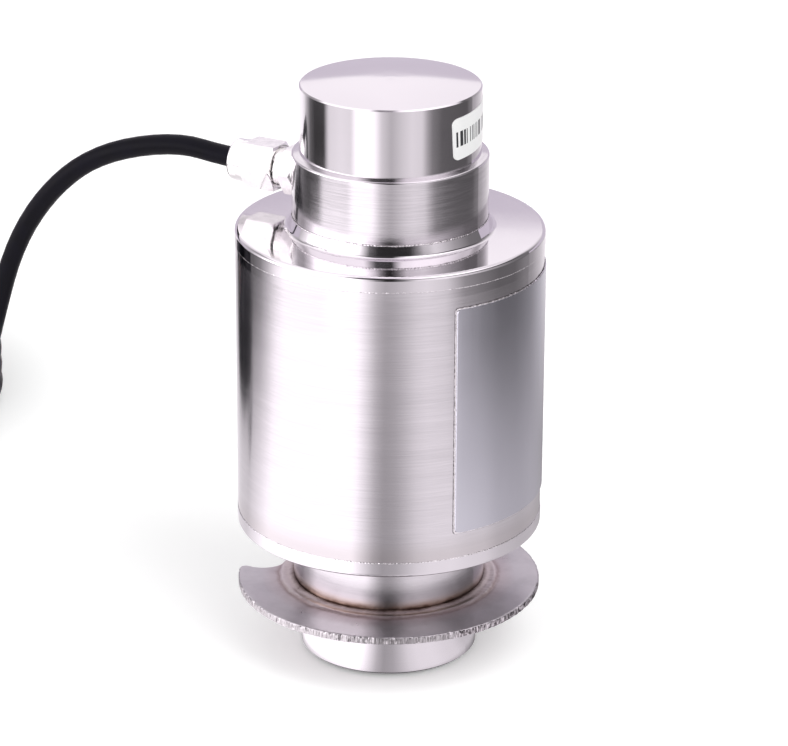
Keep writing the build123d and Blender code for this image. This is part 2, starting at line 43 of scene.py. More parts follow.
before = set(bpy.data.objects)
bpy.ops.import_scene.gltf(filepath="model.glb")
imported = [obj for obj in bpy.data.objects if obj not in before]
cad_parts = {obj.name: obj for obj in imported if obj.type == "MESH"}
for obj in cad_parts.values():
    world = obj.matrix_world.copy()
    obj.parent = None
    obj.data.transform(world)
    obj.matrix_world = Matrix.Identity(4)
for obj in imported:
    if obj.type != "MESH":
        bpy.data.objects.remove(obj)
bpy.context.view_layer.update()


def middle_height(node):
    """How high the middle of this node of the model is."""
    lowest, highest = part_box(node)
    return (lowest.z + highest.z) / 2


MM = 0.001

# The cable's route, as the model has it
CABLE_ROUTE_MM = (
    (-31, 0, 122.5),
    (-46.5, 0, 122.5),
    (-61, 0, 124.3),
    (-83, -0.5, 118.2),
    (-98, -1, 107),
    (-110, -1.5, 90),
    (-117, -2, 68),
    (-123, -2.5, 45),
    (-131, -3.5, 24),
    (-144, -4.5, 9),
    (-161, -5, 3.3),
    (-187, -5, 3.9),
    (-211, -4, 3.9),
)
# The coil: where it lies, its steps round a turn, how far a strand bulges where it climbs, the
# rise to the last strand in diameters and its end along a chord, then the ties in degrees
COIL_CENTRE = Vector((-234.455, 57.63, 0)) * MM
COIL_STEPS = 16
CLIMB_BULGE = 2.8 * MM
TOP_STRAND_RISE = 1.04
LAST_CHORD = (-3 * MM, 12 * MM)
TIE_AZIMUTHS = (20, 140, 260)
TIE_LIFT = 1.5 * MM
TIE_RAMP = 16
END_AZIMUTH = math.radians(315)

# The cores at the cable's end and their tones. In millimetres: the middle of the fan's tips as
# out, along and up, the step from tip to tip, a root's distance from the middle, the fan's
# length, and the bare strands, with how far past the tip their middle lies
CORE_TONES = {
    "red": (0.5, 0.03, 0.03),
    "black": (0.02, 0.02, 0.02),
    "green": (0.03, 0.25, 0.07),
    "white": (0.75, 0.75, 0.72),
}
FAN_TIP_MM = (45.0, 36.0, 33.35)
FAN_STEP_MM = 2.1
FAN_ROOT_MM = 0.75
FAN_LENGTH_MM = 15.0
STRAND_COUNT = 7
STRAND_RADIUS_MM = 0.12
BARE_LENGTH_MM = 4.4
BARE_REACH_MM = 1.6

# The column's heights, and the gland's axis with the back of its thread
COLUMN_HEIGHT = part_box("load_column")[1].z
COLLAR_TOP = 131.35 * MM
NECK_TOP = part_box("bottom_cover")[0].z
GLAND_HEIGHT = middle_height("gland_body")
THREAD_BACK = -28.5 * MM

# The label: where it lies on the head, how far it is turned, and the bars on it
LABEL_AZIMUTH = math.radians(16.4)
LABEL_TILT = math.radians(3.0)
LABEL_MIDDLE = middle_height("bar_label")
LABEL_RADIUS = 22.2 * MM
BAR_PITCH = 0.36 * MM
BAR_REACH = 12.9 * MM
BAR_HALF_HEIGHT = 1.9 * MM
BAR_GAPS = 0.48

# The welds: their radii, the name plate's half angle and corners, a drop's length, the steps
# along the plate's bead and how far that one wanders
RIM_WELD_RADIUS = 37.83 * MM
HUB_WELD_RADIUS = 24.0 * MM
PLATE_WELD_RADIUS = 37.93 * MM
PLATE_HALF_ANGLE = math.radians(36.9)
PLATE_WELD_CORNER = 0.55 * MM
WELD_PITCH = 0.8 * MM
WELD_STEP = 0.2 * MM
WELD_JITTER = 0.12 * MM

# The anti-rotation plate: its section, the weld on it as radius and rise over the sheet, the
# radius of the weld's edge on the neck and of its edge on the sheet
DISC_BORE = 22.92 * MM
DISC_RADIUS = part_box("anti_rotation_plate")[1].x
DISC_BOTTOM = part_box("anti_rotation_plate")[0].z
DISC_TOP = DISC_BOTTOM + 2.0 * MM
DISC_STEPS = 900
DISC_WELD_MM = (
    (27.65, 0.12), (27.3, 0.4), (26.9, 0.52), (26.4, 0.46), (25.9, 0.4),
    (25.4, 0.46), (24.9, 0.7), (24.5, 0.86), (24.13, 0.9),
)
WELD_RADIUS = 24.1 * MM
WELD_REACH = 28.0 * MM

# Its notch, the side where its sheared rim is torn, and how deep rim and weld are marked
NOTCH_HALF_WIDTH = 13.75 * MM
NOTCH_FLOOR = 26.2 * MM
NOTCH_CORNER = 6.3 * MM
NOTCH_MOUTH = 1.6 * MM
TORN_AZIMUTH = -9
TORN_REACH = 30
TOOTH_DEPTH = 0.4 * MM
CHIP_DEPTH = 0.3 * MM
RIPPLE_DEPTH = 0.14 * MM
RIPPLE_PITCH = 1.5 * MM
RIPPLE_RADIUS = 26 * MM

# What the steel reflects, by direction round the column: degrees from the camera, and tone.
# First the open table, which is the tent's lowest band, then the card part way and at the foot
FAR_TONES = (
    (-180, 1.15), (-150, 1.3), (-140, 1.15), (-131, 0.6), (-121, 0.16), (-110, 0.05),
    (-92, 0.035), (-84, 0.95), (-65, 1.05), (-51, 0.98), (-43, 1.6), (-20, 1.55), (-11, 0.9),
    (1, 0.64), (14, 0.84), (27, 1.0), (40, 0.93), (47, 0.5), (54, 0.25), (68, 0.14), (112, 0.12),
    (135, 0.6), (180, 1.15),
)
MIDDLE_TONES = (
    (-180, 1.0), (-160, 0.9), (-146, 0.42), (-132, 0.24), (-116, 0.16), (-106, 0.3), (-97, 0.7),
    (-88, 1.35), (-80, 1.62), (-22, 1.62), (-15, 1.15), (-9, 0.72), (-3, 0.54), (4, 0.63),
    (11, 0.78), (18, 0.95), (26, 1.02), (41, 0.85), (54, 0.39), (68, 0.26), (83, 0.16),
    (100, 0.16), (120, 0.33), (133, 0.6), (151, 0.9), (180, 1.0),
)
NEAR_TONES = (
    (-180, 0.85), (-163, 1.1), (-150, 1.0), (-136, 0.85), (-118, 0.85), (-104, 1.2), (-90, 1.62),
    (-24, 1.62), (-16, 1.05), (-10, 0.64), (-4, 0.46), (4, 0.53), (11, 0.72), (18, 0.93),
    (26, 1.04), (41, 1.06), (54, 0.97), (66, 0.92), (78, 0.74), (100, 0.64), (120, 0.64),
    (140, 0.5), (163, 0.3), (174, 0.5), (180, 0.85),
)
# Then the tent at eye level, the dark gap over it, and the soft box with the camera before it
LEVEL_TONES = (
    (-180, 1.25), (-150, 1.1), (-138, 0.65), (-122, 0.55), (-108, 1.2), (-96, 2.5), (-34, 2.8),
    (-20, 1.5), (-10, 0.35), (-3, 0.03), (2, 0.03), (10, 0.3), (20, 1.05), (40, 1.3), (58, 0.9),
    (78, 0.48), (100, 0.22), (120, 0.2), (140, 0.5), (160, 1.0), (180, 1.25),
)
GAP_TONES = (
    (-180, 1.25), (-150, 1.0), (-132, 0.35), (-112, 0.6), (-98, 1.3), (-36, 1.3), (-24, 0.15),
    (-14, 0.03), (24, 0.03), (32, 0.2), (40, 0.35), (48, 0.15), (60, 0.06), (80, 0.03),
    (100, 0.04), (118, 0.12), (134, 0.3), (155, 1.0), (180, 1.25),
)
HIGH_TONES = (
    (-180, 1.2), (-142, 1.3), (-119, 1.6), (-50, 1.7), (-38, 0.7), (-28, 0.12), (4, 0.05),
    (13, 0.7), (24, 1.5), (50, 1.8), (80, 1.8), (100, 1.5), (119, 1.0), (142, 1.0), (180, 1.2),
)
# Each band fades in over these elevations, in degrees, and the tent's top over the last ones
TENT_BANDS = ((LEVEL_TONES, -14, -9), (GAP_TONES, 24, 27), (HIGH_TONES, 36, 41))
TENT_TOP_FADE = (70, 80)
TENT_TOP = (1.22, 1.18, 1.24)
STUDIO_TINT = (1.0, 0.95, 0.995)
PLAIN_LIGHT = 0.66
FLOOR_GLOW = 0.22

# The table card's radius and depth, how far out its tones blend, and the painted shade under the
# foot
TABLE_RADIUS = 0.4
TABLE_DEPTH = 0.5 * MM
MIDDLE_BLEND = (0.15, 0.29)
FAR_BLEND = (0.335, 0.375)
FOOT_SHADE_BLEND = (0.0218, 0.027)
PAINTED_FOOT_SHADE = (0.03, 0.03, 0.03)

# The wall card's tone, half width, half height and distance
WALL_TONE = (0.73, 0.66, 0.765)
WALL_HALF_WIDTH = 0.9
WALL_HALF_HEIGHT = 0.144
WALL_DISTANCE = 0.5

# Each lamp's name, degrees from the camera, height, distance, size and power
LAMPS = (
    ("key_lamp", 42, 1.3, 1.1, 1.2, 13.0),
    ("fill_lamp", -40, 1.4, 0.9, 1.4, 6.0),
)


def length_setting(name, description, size):
    """A length that can be set, in metres."""
    return FloatProperty(
        name=name, description=description, default=size, unit="LENGTH", subtype="DISTANCE"
    )


def angle_setting(name, description, degrees):
    """An angle that can be set, given here in degrees."""
    return FloatProperty(
        name=name, description=description, default=math.radians(degrees), subtype="ANGLE"
    )


def count_setting(name, description, number):
    """A number of like things that can be set."""
    return IntProperty(name=name, description=description, default=number, min=1)


def tone_setting(name, description, colour):
    """A colour that can be set."""
    return FloatVectorProperty(
        name=name, description=description, default=colour, min=0.0, max=1.0, subtype="COLOR"
    )


class LoadCellStage(bpy.types.PropertyGroup):
    azimuth: angle_setting("Azimuth", "Direction the camera looks from, round the column", 28.5)
    elevation: angle_setting("Elevation", "How far the camera looks down", 21.6)
    roll: angle_setting("Roll", "How far the picture is turned clockwise", 0.27)
    distance: length_setting("Distance", "From the camera to the point it looks at", 0.9104)
    aim_height: length_setting("Aim Height", "Height of the point the camera looks at", 0.0735)
    aim_right: length_setting("Aim Right", "How far right of the axis the camera looks", 0.00111)
    lens: FloatProperty(
        name="Lens", description="Focal length of the camera in millimetres", default=167.2, min=1.0
    )
    floor_colour: tone_setting("Floor", "Colour of the floor", (0.9, 0.9, 0.9))


class LoadCellSizes(bpy.types.PropertyGroup):
    cable_diameter: length_setting(
        "Cable Diameter", "Outside diameter of the cable's jacket", 0.0052
    )
    cable_length: length_setting("Cable Length", "Length of the whole cable", 12.0)
    coil_radius: length_setting(
        "Coil Radius", "Radius of the coil at the middle of its turns", 0.045
    )
    coil_columns: count_setting("Coil Columns", "Turns side by side in the coil", 7)
    coil_layers: count_setting("Coil Layers", "Turns on top of each other in the coil", 6)
    seam_bead: length_setting(
        "Seam Bead", "Radius of the weld beads round the covers and the hubs", 0.00028
    )
    plate_bead: length_setting(
        "Plate Bead", "Radius of the weld bead round the name plate", 0.00042
    )
    thread_pitch: length_setting(
        "Thread Pitch", "Pitch of the thread that shows on the gland", 0.0005
    )
    thread_root: length_setting(
        "Thread Root", "Radius at the foot of the gland's thread", 0.00475
    )
    thread_crest: length_setting(
        "Thread Crest", "Radius at the top of the gland's thread", 0.0051
    )
    thread_teeth: count_setting("Thread Teeth", "Teeth of the gland's thread that show", 4)


class LoadCellFinishes(bpy.types.PropertyGroup):
    steel: tone_setting(
        "Steel", "Stainless steel of the column and the housing", (0.72, 0.695, 0.72)
    )
    plate: tone_setting("Name Plate", "Rolled sheet of the name plate", (0.61, 0.61, 0.665))
    disc: tone_setting("Disc", "Matt sheet of the anti-rotation plate", (0.57, 0.55, 0.567))
    heat: tone_setting("Heat Tint", "Bloom that the foot weld leaves", (0.40, 0.31, 0.27))
    nickel: tone_setting("Nickel", "Plating of the gland", (0.96, 0.95, 0.94))
    jacket: tone_setting("Jacket", "Cable jacket", (0.0028, 0.0026, 0.0052))
    label: tone_setting("Label", "Film of the label", (0.86, 0.86, 0.86))
    laminate: tone_setting("Laminate", "Circuit board", (0.02, 0.14, 0.05))


def link(piece):
    """Put the piece into the scene."""
    bpy.context.scene.collection.objects.link(piece)
    return piece


def dim(colour, share):
    """The colour at this share of its brightness."""
    return tuple(part * share for part in colour)


class Graph:
    """A node tree and short calls to add to it."""

    def __init__(self, tree):
        self.tree = tree
        self.tree.nodes.clear()

    def add(self, kind, inputs=None, **settings):
        """Add a node. Inputs are values or links by socket name or number."""
        node = self.tree.nodes.new(kind)
        for key, value in settings.items():
            setattr(node, key, value)
        for key, value in (inputs or {}).items():
            if isinstance(value, bpy.types.NodeSocket):
                self.tree.links.new(value, node.inputs[key])
            else:
                node.inputs[key].default_value = value
        return node

    def maths(self, operation, first, second=0.0, third=0.0):
        """The result of one maths node."""
        inputs = {0: first, 1: second, 2: third}
        return self.add("ShaderNodeMath", inputs, operation=operation).outputs[0]

    def point(self):
        """The place on the surface, in the piece's own frame."""
        return self.add("ShaderNodeTexCoord").outputs["Object"]

    def parts(self):
        """The X, Y and Z of the place on the surface."""
        return self.add("ShaderNodeSeparateXYZ", {0: self.point()}).outputs

    def reach(self, parts):
        """How far out from the column's axis these parts are."""
        flat = self.add("ShaderNodeCombineXYZ", {0: parts["X"], 1: parts["Y"]}).outputs[0]
        return self.add("ShaderNodeVectorMath", {0: flat}, operation="LENGTH").outputs["Value"]

    def around(self, parts):
        """The angle round the column's axis of these parts."""
        return self.maths("ARCTAN2", parts["Y"], parts["X"])

    def stretch(self, vector, scale):
        """The vector with each part scaled."""
        inputs = {0: vector, 1: scale}
        return self.add("ShaderNodeVectorMath", inputs, operation="MULTIPLY").outputs[0]

    def noise(self, vector, scale=1.0, detail=2.0, roughness=0.5):
        """Soft noise from 0 to 1."""
        inputs = {"Vector": vector, "Scale": scale, "Detail": detail, "Roughness": roughness}
        return self.add("ShaderNodeTexNoise", inputs).outputs["Fac"]

    def mix(self, first, second, factor, blend="MIX"):
        """A blend of two colours, each a link or a tone."""
        node = self.add("ShaderNodeMix", data_type="RGBA", blend_type=blend)
        colours = [socket for socket in node.inputs if socket.type == "RGBA"]
        for socket, value in ((node.inputs[0], factor), (colours[0], first), (colours[1], second)):
            if isinstance(value, bpy.types.NodeSocket):
                self.tree.links.new(value, socket)
            else:
                socket.default_value = (*value, 1) if isinstance(value, tuple) else value
        return [socket for socket in node.outputs if socket.type == "RGBA"][0]

    def shade(self, colour, share, factor):
        """The colour, dimmed to this share of itself where the factor is 0."""
        return self.mix(dim(colour, share), tuple(colour), factor)

    def times(self, first, second):
        """The product of two colours, each a link or a tone."""
        return self.mix(first, second, 1.0, "MULTIPLY")

    def spread(self, value, low, high, start, end):
        """The value, from start to end, spread over low to high."""
        inputs = {0: value, 1: start, 2: end, 3: low, 4: high}
        return self.add("ShaderNodeMapRange", inputs).outputs[0]

    def fade(self, value, start, end):
        """0 as far as start, rising to 1 at end."""
        return self.spread(value, 0.0, 1.0, start, end)

    def weigh(self, first, second, share):
        """The first value at this share and the second at the rest of it."""
        return self.maths("MULTIPLY_ADD", first, share, self.maths("MULTIPLY", second, 1 - share))

    def bump(self, height, depth, normal=None):
        """A bump of this depth in metres, over another bump if one is given."""
        node = self.add("ShaderNodeBump", {"Height": height, "Distance": depth})
        if normal is not None:
            self.tree.links.new(normal, node.inputs["Normal"])
        return node.outputs[0]

    def ramp(self, factor, stops, interpolation="LINEAR"):
        """A colour ramp with (position, grey or colour) stops."""
        node = self.add("ShaderNodeValToRGB", {"Fac": factor})
        band = node.color_ramp
        band.interpolation = interpolation
        while len(band.elements) < len(stops):
            band.elements.new(1.0)
        for stop, (position, tone) in zip(band.elements, stops):
            stop.position = position
            stop.color = (*tone, 1) if isinstance(tone, tuple) else (tone, tone, tone, 1)
        return node.outputs["Color"]

    def ring_vector(self):
        """Distance from the column's axis and height, which follow a turning tool's lines."""
        parts = self.parts()
        return self.add("ShaderNodeCombineXYZ", {0: self.reach(parts), 2: parts["Z"]}).outputs[0]


def azimuth_factor(graph, vector, front):
    """How far round from straight behind the vector points, 0 to 1, and its turned parts."""
    inputs = {"Vector": vector, "Angle": -front}
    turned = graph.add("ShaderNodeVectorRotate", inputs, rotation_type="Z_AXIS")
    split = graph.add("ShaderNodeSeparateXYZ", {0: turned.outputs[0]}).outputs
    towards = graph.maths("MULTIPLY", split["Y"], -1.0)
    angle = graph.maths("ARCTAN2", split["X"], towards)
    return graph.maths("MULTIPLY_ADD", angle, 0.5 / math.pi, 0.5), split


def band_ramp(graph, around, tones):
    """The tones by direction, on a ramp over the full turn from straight behind the column."""
    return graph.ramp(around, [((degrees + 180) / 360, tone) for degrees, tone in tones])


def rise_part(degrees):
    """Where a ramp over height has this elevation."""
    return 0.5 + 0.5 * math.sin(math.radians(degrees))


def new_object(name, bm, *materials):
    """Make a scene object of the bmesh, with the materials in its slots."""
    mesh = bpy.data.meshes.new(name)
    bm.to_mesh(mesh)
    bm.free()
    for material in materials:
        mesh.materials.append(material)
    return link(bpy.data.objects.new(name, mesh))


def new_material(name):
    """A new material that is made of nodes."""
    material = bpy.data.materials.new(name)
    material.use_nodes = True
    return material


def camera_place(stage):
    """The camera's matrix, from the stage's angles."""
    level = Matrix.Rotation(stage.azimuth, 4, "Z")
    right = level @ Vector((1, 0, 0))
    aim = right * stage.aim_right + Vector((0, 0, stage.aim_height))
    tilt = Matrix.Rotation(math.pi / 2 - stage.elevation, 4, "X")
    roll = Matrix.Rotation(stage.roll, 4, "Z")
    turn = level @ tilt @ roll
    back = (level @ tilt) @ Vector((0, 0, 1))
    return Matrix.Translation(aim + back * stage.distance) @ turn


class LOADCELL_OT_stage(bpy.types.Operator):
    """Make the floor, the studio light and the camera"""

    bl_idname = "load_cell.stage"
    bl_label = "Stage"

    def execute(self, context):
        stage = context.scene.load_cell_stage
        context.scene.view_settings.view_transform = "Standard"
        self.make_world(context.scene, stage)
        self.make_floor(stage)
        self.make_reflectors(stage)
        self.make_lamps(stage)
        data = bpy.data.cameras.new("camera")
        data.lens = stage.lens
        data.sensor_width = 36.0
        data.clip_start = 0.01
        data.clip_end = 20.0
        camera = link(bpy.data.objects.new("camera", data))
        camera.matrix_world = camera_place(stage)
        context.scene.camera = camera
        return {"FINISHED"}

    def make_world(self, scene, stage):
        """Plain soft light, and the light tent with its black flags that the steel reflects."""
        world = bpy.data.worlds.new("studio")
        scene.world = world
        world.use_nodes = True
        graph = Graph(world.node_tree)
        direction = graph.add("ShaderNodeTexCoord").outputs["Generated"]
        around, split = azimuth_factor(graph, direction, stage.azimuth)
        rise = graph.maths("MULTIPLY_ADD", split["Z"], 0.5, 0.5)
        tent = band_ramp(graph, around, FAR_TONES)
        for tones, start, end in TENT_BANDS:
            fade = graph.fade(rise, rise_part(start), rise_part(end))
            tent = graph.mix(tent, band_ramp(graph, around, tones), fade)
        top_start, top_end = (rise_part(degrees) for degrees in TENT_TOP_FADE)
        tent = graph.mix(tent, TENT_TOP, graph.fade(rise, top_start, top_end))
        tent = graph.times(tent, STUDIO_TINT)
        rays = graph.add("ShaderNodeLightPath").outputs
        reflected = graph.add("ShaderNodeBackground", {"Color": tent, "Strength": 1.0})
        plain = graph.add("ShaderNodeBackground", {"Color": (1, 1, 1, 1), "Strength": PLAIN_LIGHT})
        seen = graph.add("ShaderNodeBackground", {"Color": (1, 1, 1, 1), "Strength": 1.0})
        lit = graph.add(
            "ShaderNodeMixShader",
            {0: rays["Is Glossy Ray"], 1: plain.outputs[0], 2: reflected.outputs[0]},
        )
        clear = graph.maths("MAXIMUM", rays["Is Camera Ray"], rays["Is Transmission Ray"])
        out = graph.add("ShaderNodeMixShader", {0: clear, 1: lit.outputs[0], 2: seen.outputs[0]})
        graph.add("ShaderNodeOutputWorld", {"Surface": out.outputs[0]})

    def make_reflectors(self, stage):
        """The white table round the foot and the grey wall behind, which only the steel sees."""
        material = new_material("table_glow")
        graph = Graph(material.node_tree)
        around, parts = azimuth_factor(graph, graph.point(), stage.azimuth)
        reach = graph.reach(parts)
        away = graph.fade(reach, *MIDDLE_BLEND)
        fade = graph.fade(reach, *FAR_BLEND)
        # painted shade: the table card is dark under the foot, so the foot's lower edge reflects a
        # contact shadow
        clear_of_foot_shade = graph.fade(reach, *FOOT_SHADE_BLEND)
        near, middle = (band_ramp(graph, around, tones) for tones in (NEAR_TONES, MIDDLE_TONES))
        tone = graph.mix(PAINTED_FOOT_SHADE, graph.mix(near, middle, away), clear_of_foot_shade)
        tone = graph.times(tone, STUDIO_TINT)
        glow = graph.add("ShaderNodeEmission", {"Color": tone, "Strength": 1.0}).outputs[0]
        gone = graph.add("ShaderNodeBsdfTransparent").outputs[0]
        out = graph.add("ShaderNodeMixShader", {0: fade, 1: glow, 2: gone}).outputs[0]
        graph.add("ShaderNodeOutputMaterial", {"Surface": out})
        bm = bmesh.new()
        bmesh.ops.create_circle(bm, cap_ends=True, segments=64, radius=TABLE_RADIUS)
        table = new_object("table_reflector", bm, material)
        table.data.transform(Matrix.Translation((0, 0, -TABLE_DEPTH)))
        material = new_material("wall_glow")
        graph = Graph(material.node_tree)
        glow = graph.add("ShaderNodeEmission", {"Color": (*WALL_TONE, 1), "Strength": 1.0})
        graph.add("ShaderNodeOutputMaterial", {"Surface": glow.outputs[0]})
        bm = bmesh.new()
        bmesh.ops.create_grid(bm, x_segments=1, y_segments=1, size=1.0)
        wall = new_object("wall_reflector", bm, material)
        wall.data.transform(Matrix.Diagonal((WALL_HALF_WIDTH, WALL_HALF_HEIGHT, 1, 1)))
        wall.data.transform(Matrix.Rotation(math.pi / 2, 4, "X"))
        wall.data.transform(Matrix.Translation((0, WALL_DISTANCE, WALL_HALF_HEIGHT)))
        wall.data.transform(Matrix.Rotation(stage.azimuth, 4, "Z"))
        for card in (table, wall):
            card.visible_camera = False
            card.visible_diffuse = False
            card.visible_transmission = False
            card.visible_shadow = False

    def make_floor(self, stage):
        """A wide pale floor that keeps the shadow."""
        material = new_material("floor_paper")
        graph = Graph(material.node_tree)
        rays = graph.add("ShaderNodeLightPath").outputs
        paper = graph.add(
            "ShaderNodeBsdfDiffuse", {"Color": (*stage.floor_colour, 1), "Roughness": 0.5}
        )
        glow = graph.add("ShaderNodeEmission", {"Color": (1, 1, 1, 1), "Strength": FLOOR_GLOW})
        both = graph.add("ShaderNodeAddShader", {0: paper.outputs[0], 1: glow.outputs[0]})
        seen = graph.add(
            "ShaderNodeMixShader",
            {0: rays["Is Camera Ray"], 1: paper.outputs[0], 2: both.outputs[0]},
        )
        graph.add("ShaderNodeOutputMaterial", {"Surface": seen.outputs[0]})
        bm = bmesh.new()
        bmesh.ops.create_grid(bm, x_segments=1, y_segments=1, size=6.0)
        floor = new_object("floor", bm, material)
        floor.visible_glossy = False

    def make_lamps(self, stage):
        """Two wide soft lamps that only light, so no lamp shows in the steel."""
        for name, azimuth, height, reach, size, power in LAMPS:
            data = bpy.data.lights.new(name, "AREA")
            data.shape = "SQUARE"
            data.size = size
            data.energy = power
            lamp = link(bpy.data.objects.new(name, data))
            turn = Matrix.Rotation(stage.azimuth + math.radians(azimuth), 4, "Z")
            place = turn @ Vector((0, -reach, height))
            lamp.location = place
            aim = place - Vector((0, 0, stage.aim_height))
            lamp.rotation_euler = aim.to_track_quat("Z", "Y").to_euler()
            lamp.visible_glossy = False


class Finish(Graph):
    """A new material with one shader, and calls that lead into it."""

    def __init__(self, name, colour, metallic=0.0, roughness=0.5):
        self.material = new_material(name)
        super().__init__(self.material.node_tree)
        inputs = {"Base Color": (*colour, 1), "Metallic": metallic, "Roughness": roughness}
        self.shader = self.add("ShaderNodeBsdfPrincipled", inputs)
        self.add("ShaderNodeOutputMaterial", {"Surface": self.shader.outputs[0]})

    def feed(self, **sources):
        """Link sources to the shader's sockets, named with underscores for spaces."""
        for name, source in sources.items():
            self.tree.links.new(source, self.shader.inputs[name.replace("_", " ")])

    def brush_round(self, amount):
        """Draw the gloss out across marks that run round the column."""
        self.shader.inputs["Anisotropic"].default_value = amount
        self.shader.inputs["Anisotropic Rotation"].default_value = 0.25
        tangent = self.add("ShaderNodeTangent", direction_type="RADIAL", axis="Z")
        self.feed(Tangent=tangent.outputs[0])


def dress(node, material):
    """Give a node of the model its finish."""
    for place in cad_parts[node].material_slots:
        place.material = material


def near_height(graph, height, reach):
    """1 at this height, fading to 0 at this reach above or below it."""
    apart = graph.maths("ABSOLUTE", graph.maths("SUBTRACT", graph.parts()["Z"], height))
    return graph.spread(apart, 1.0, 0.0, 0.0, reach)


def turned_steel(name, colour, smooth, rough, line_depth):
    """Steel from the lathe, with fine lines round the axis and a faint haze."""
    graph = Finish(name, colour, metallic=1.0)
    rings = graph.ring_vector()
    lines = graph.noise(graph.stretch(rings, (1900, 1, 1900)), detail=3.0, roughness=0.7)
    haze = graph.noise(graph.point(), scale=90.0, detail=3.0)
    marks = graph.maths("MULTIPLY", lines, haze)
    pits = graph.noise(graph.point(), scale=900.0, detail=1.0)
    shade = graph.ramp(pits, [(0.0, 0.55), (0.22, 1.0)])
    graph.feed(
        Roughness=graph.spread(marks, smooth, rough, 0.1, 0.45),
        Normal=graph.bump(lines, line_depth),
        Base_Color=graph.shade(colour, 0.8, shade),
    )
    return graph


def column_finish(tones):
    """Polished ends, satin collar and neck, tinted brown by the heat of the foot weld."""
    graph = turned_steel("column_polished", tones.steel, 0.09, 0.14, 1.2e-6)
    height = graph.parts()["Z"]
    satin = graph.ramp(
        graph.maths("DIVIDE", height, COLUMN_HEIGHT),
        [
            (0.0, 0.1),
            (DISC_TOP / COLUMN_HEIGHT, 0.5),
            (NECK_TOP / COLUMN_HEIGHT, 1.0),
            (COLLAR_TOP / COLUMN_HEIGHT, 0.0),
        ],
        "CONSTANT",
    )
    lines = graph.noise(graph.stretch(graph.point(), (70, 70, 2600)), detail=3.0, roughness=0.75)
    low = graph.maths("LESS_THAN", height, 0.5 * COLUMN_HEIGHT)
    satin_low = graph.maths("MULTIPLY_ADD", low, 0.16, 0.11)
    rubbed = graph.fade(lines, 0.3, 0.7)
    brushed = graph.maths("MULTIPLY_ADD", rubbed, 0.05, satin_low)
    polished = graph.shader.inputs["Roughness"].links[0].from_socket
    turned = graph.shader.inputs["Normal"].links[0].from_socket
    graph.brush_round(0.6)
    graph.feed(
        Roughness=graph.mix(polished, brushed, satin),
        Normal=graph.bump(graph.maths("MULTIPLY", lines, satin), 9e-6, turned),
    )
    burnt = near_height(graph, DISC_TOP, 3.4 * MM)
    patchy = graph.noise(graph.point(), scale=260.0, detail=3.0)
    heat = graph.maths("MULTIPLY", burnt, graph.spread(patchy, 0.75, 1.1, 0.3, 0.7))
    tint = graph.ramp(
        heat,
        [
            (0.0, tuple(tones.steel)),
            (0.25, (0.66, 0.60, 0.58)),
            (0.5, tuple(tones.heat)),
            (0.68, (0.10, 0.06, 0.045)),
        ],
    )
    streaks = graph.mix((1.0, 1.0, 1.0), graph.ramp(lines, [(0.36, 0.88), (0.6, 1.0)]), satin)
    graph.feed(Base_Color=graph.times(tint, streaks))
    return graph.material


def tube_finish(tones):
    """Steel brushed round the tube, with a polished band next to each weld."""
    graph = Finish("tube_brushed", tones.steel, metallic=1.0)
    point = graph.point()
    fine = graph.noise(graph.stretch(point, (30, 30, 3200)), detail=3.0, roughness=0.75)
    broad = graph.noise(graph.stretch(point, (12, 12, 420)), detail=3.0, roughness=0.6)
    marks = graph.weigh(broad, fine, 0.25)
    low, high = (corner.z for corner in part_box("housing_tube"))
    band = 2.3 * MM
    polished = graph.maths(
        "MAXIMUM",
        graph.maths("GREATER_THAN", near_height(graph, low, 2 * band), 0.5),
        graph.maths("GREATER_THAN", near_height(graph, high, 2 * band), 0.5),
    )
    brushed = graph.spread(marks, 0.15, 0.21, 0.3, 0.7)
    rough = graph.mix(brushed, (0.09, 0.09, 0.09), polished)
    scratch = graph.noise(graph.stretch(point, (60, 60, 5200)), roughness=0.9)
    streaks = graph.ramp(
        graph.weigh(scratch, broad, 0.65),
        [(0.35, dim(tones.steel, 0.88)), (0.62, tuple(tones.steel))],
    )
    dull = graph.fade(near_height(graph, low, 8 * MM), 0.2, 0.8)
    colour = graph.mix(streaks, (0.60, 0.57, 0.58), dull)
    graph.feed(Roughness=rough, Normal=graph.bump(marks, 4e-6), Base_Color=colour)
    graph.brush_round(0.75)
    return graph.material


def plate_finish(tones):
    """Bluish sheet steel rolled and brushed up and down."""
    graph = Finish("plate_brushed", tones.plate, metallic=1.0)
    point = graph.point()
    grain = graph.noise(graph.stretch(point, (900, 900, 25)), detail=4.0, roughness=0.7)
    cloud = graph.noise(point, scale=60.0, detail=3.0)
    blotches = graph.fade(cloud, 0.3, 0.7)
    colour = graph.shade(tones.plate, 0.95, blotches)
    graph.feed(
        Base_Color=colour,
        Roughness=graph.spread(graph.maths("MULTIPLY", grain, cloud), 0.20, 0.27, 0.1, 0.45),
        Normal=graph.bump(grain, 0.8e-6),
    )
    return graph.material


def stroke_noise(graph, angle, height, pitch):
    """Noise in upright strokes round the column, this many to a radian."""
    place = {0: graph.maths("MULTIPLY", angle, pitch), 1: graph.maths("MULTIPLY", height, 350.0)}
    vector = graph.add("ShaderNodeCombineXYZ", place).outputs[0]
    return graph.noise(vector, roughness=0.6)


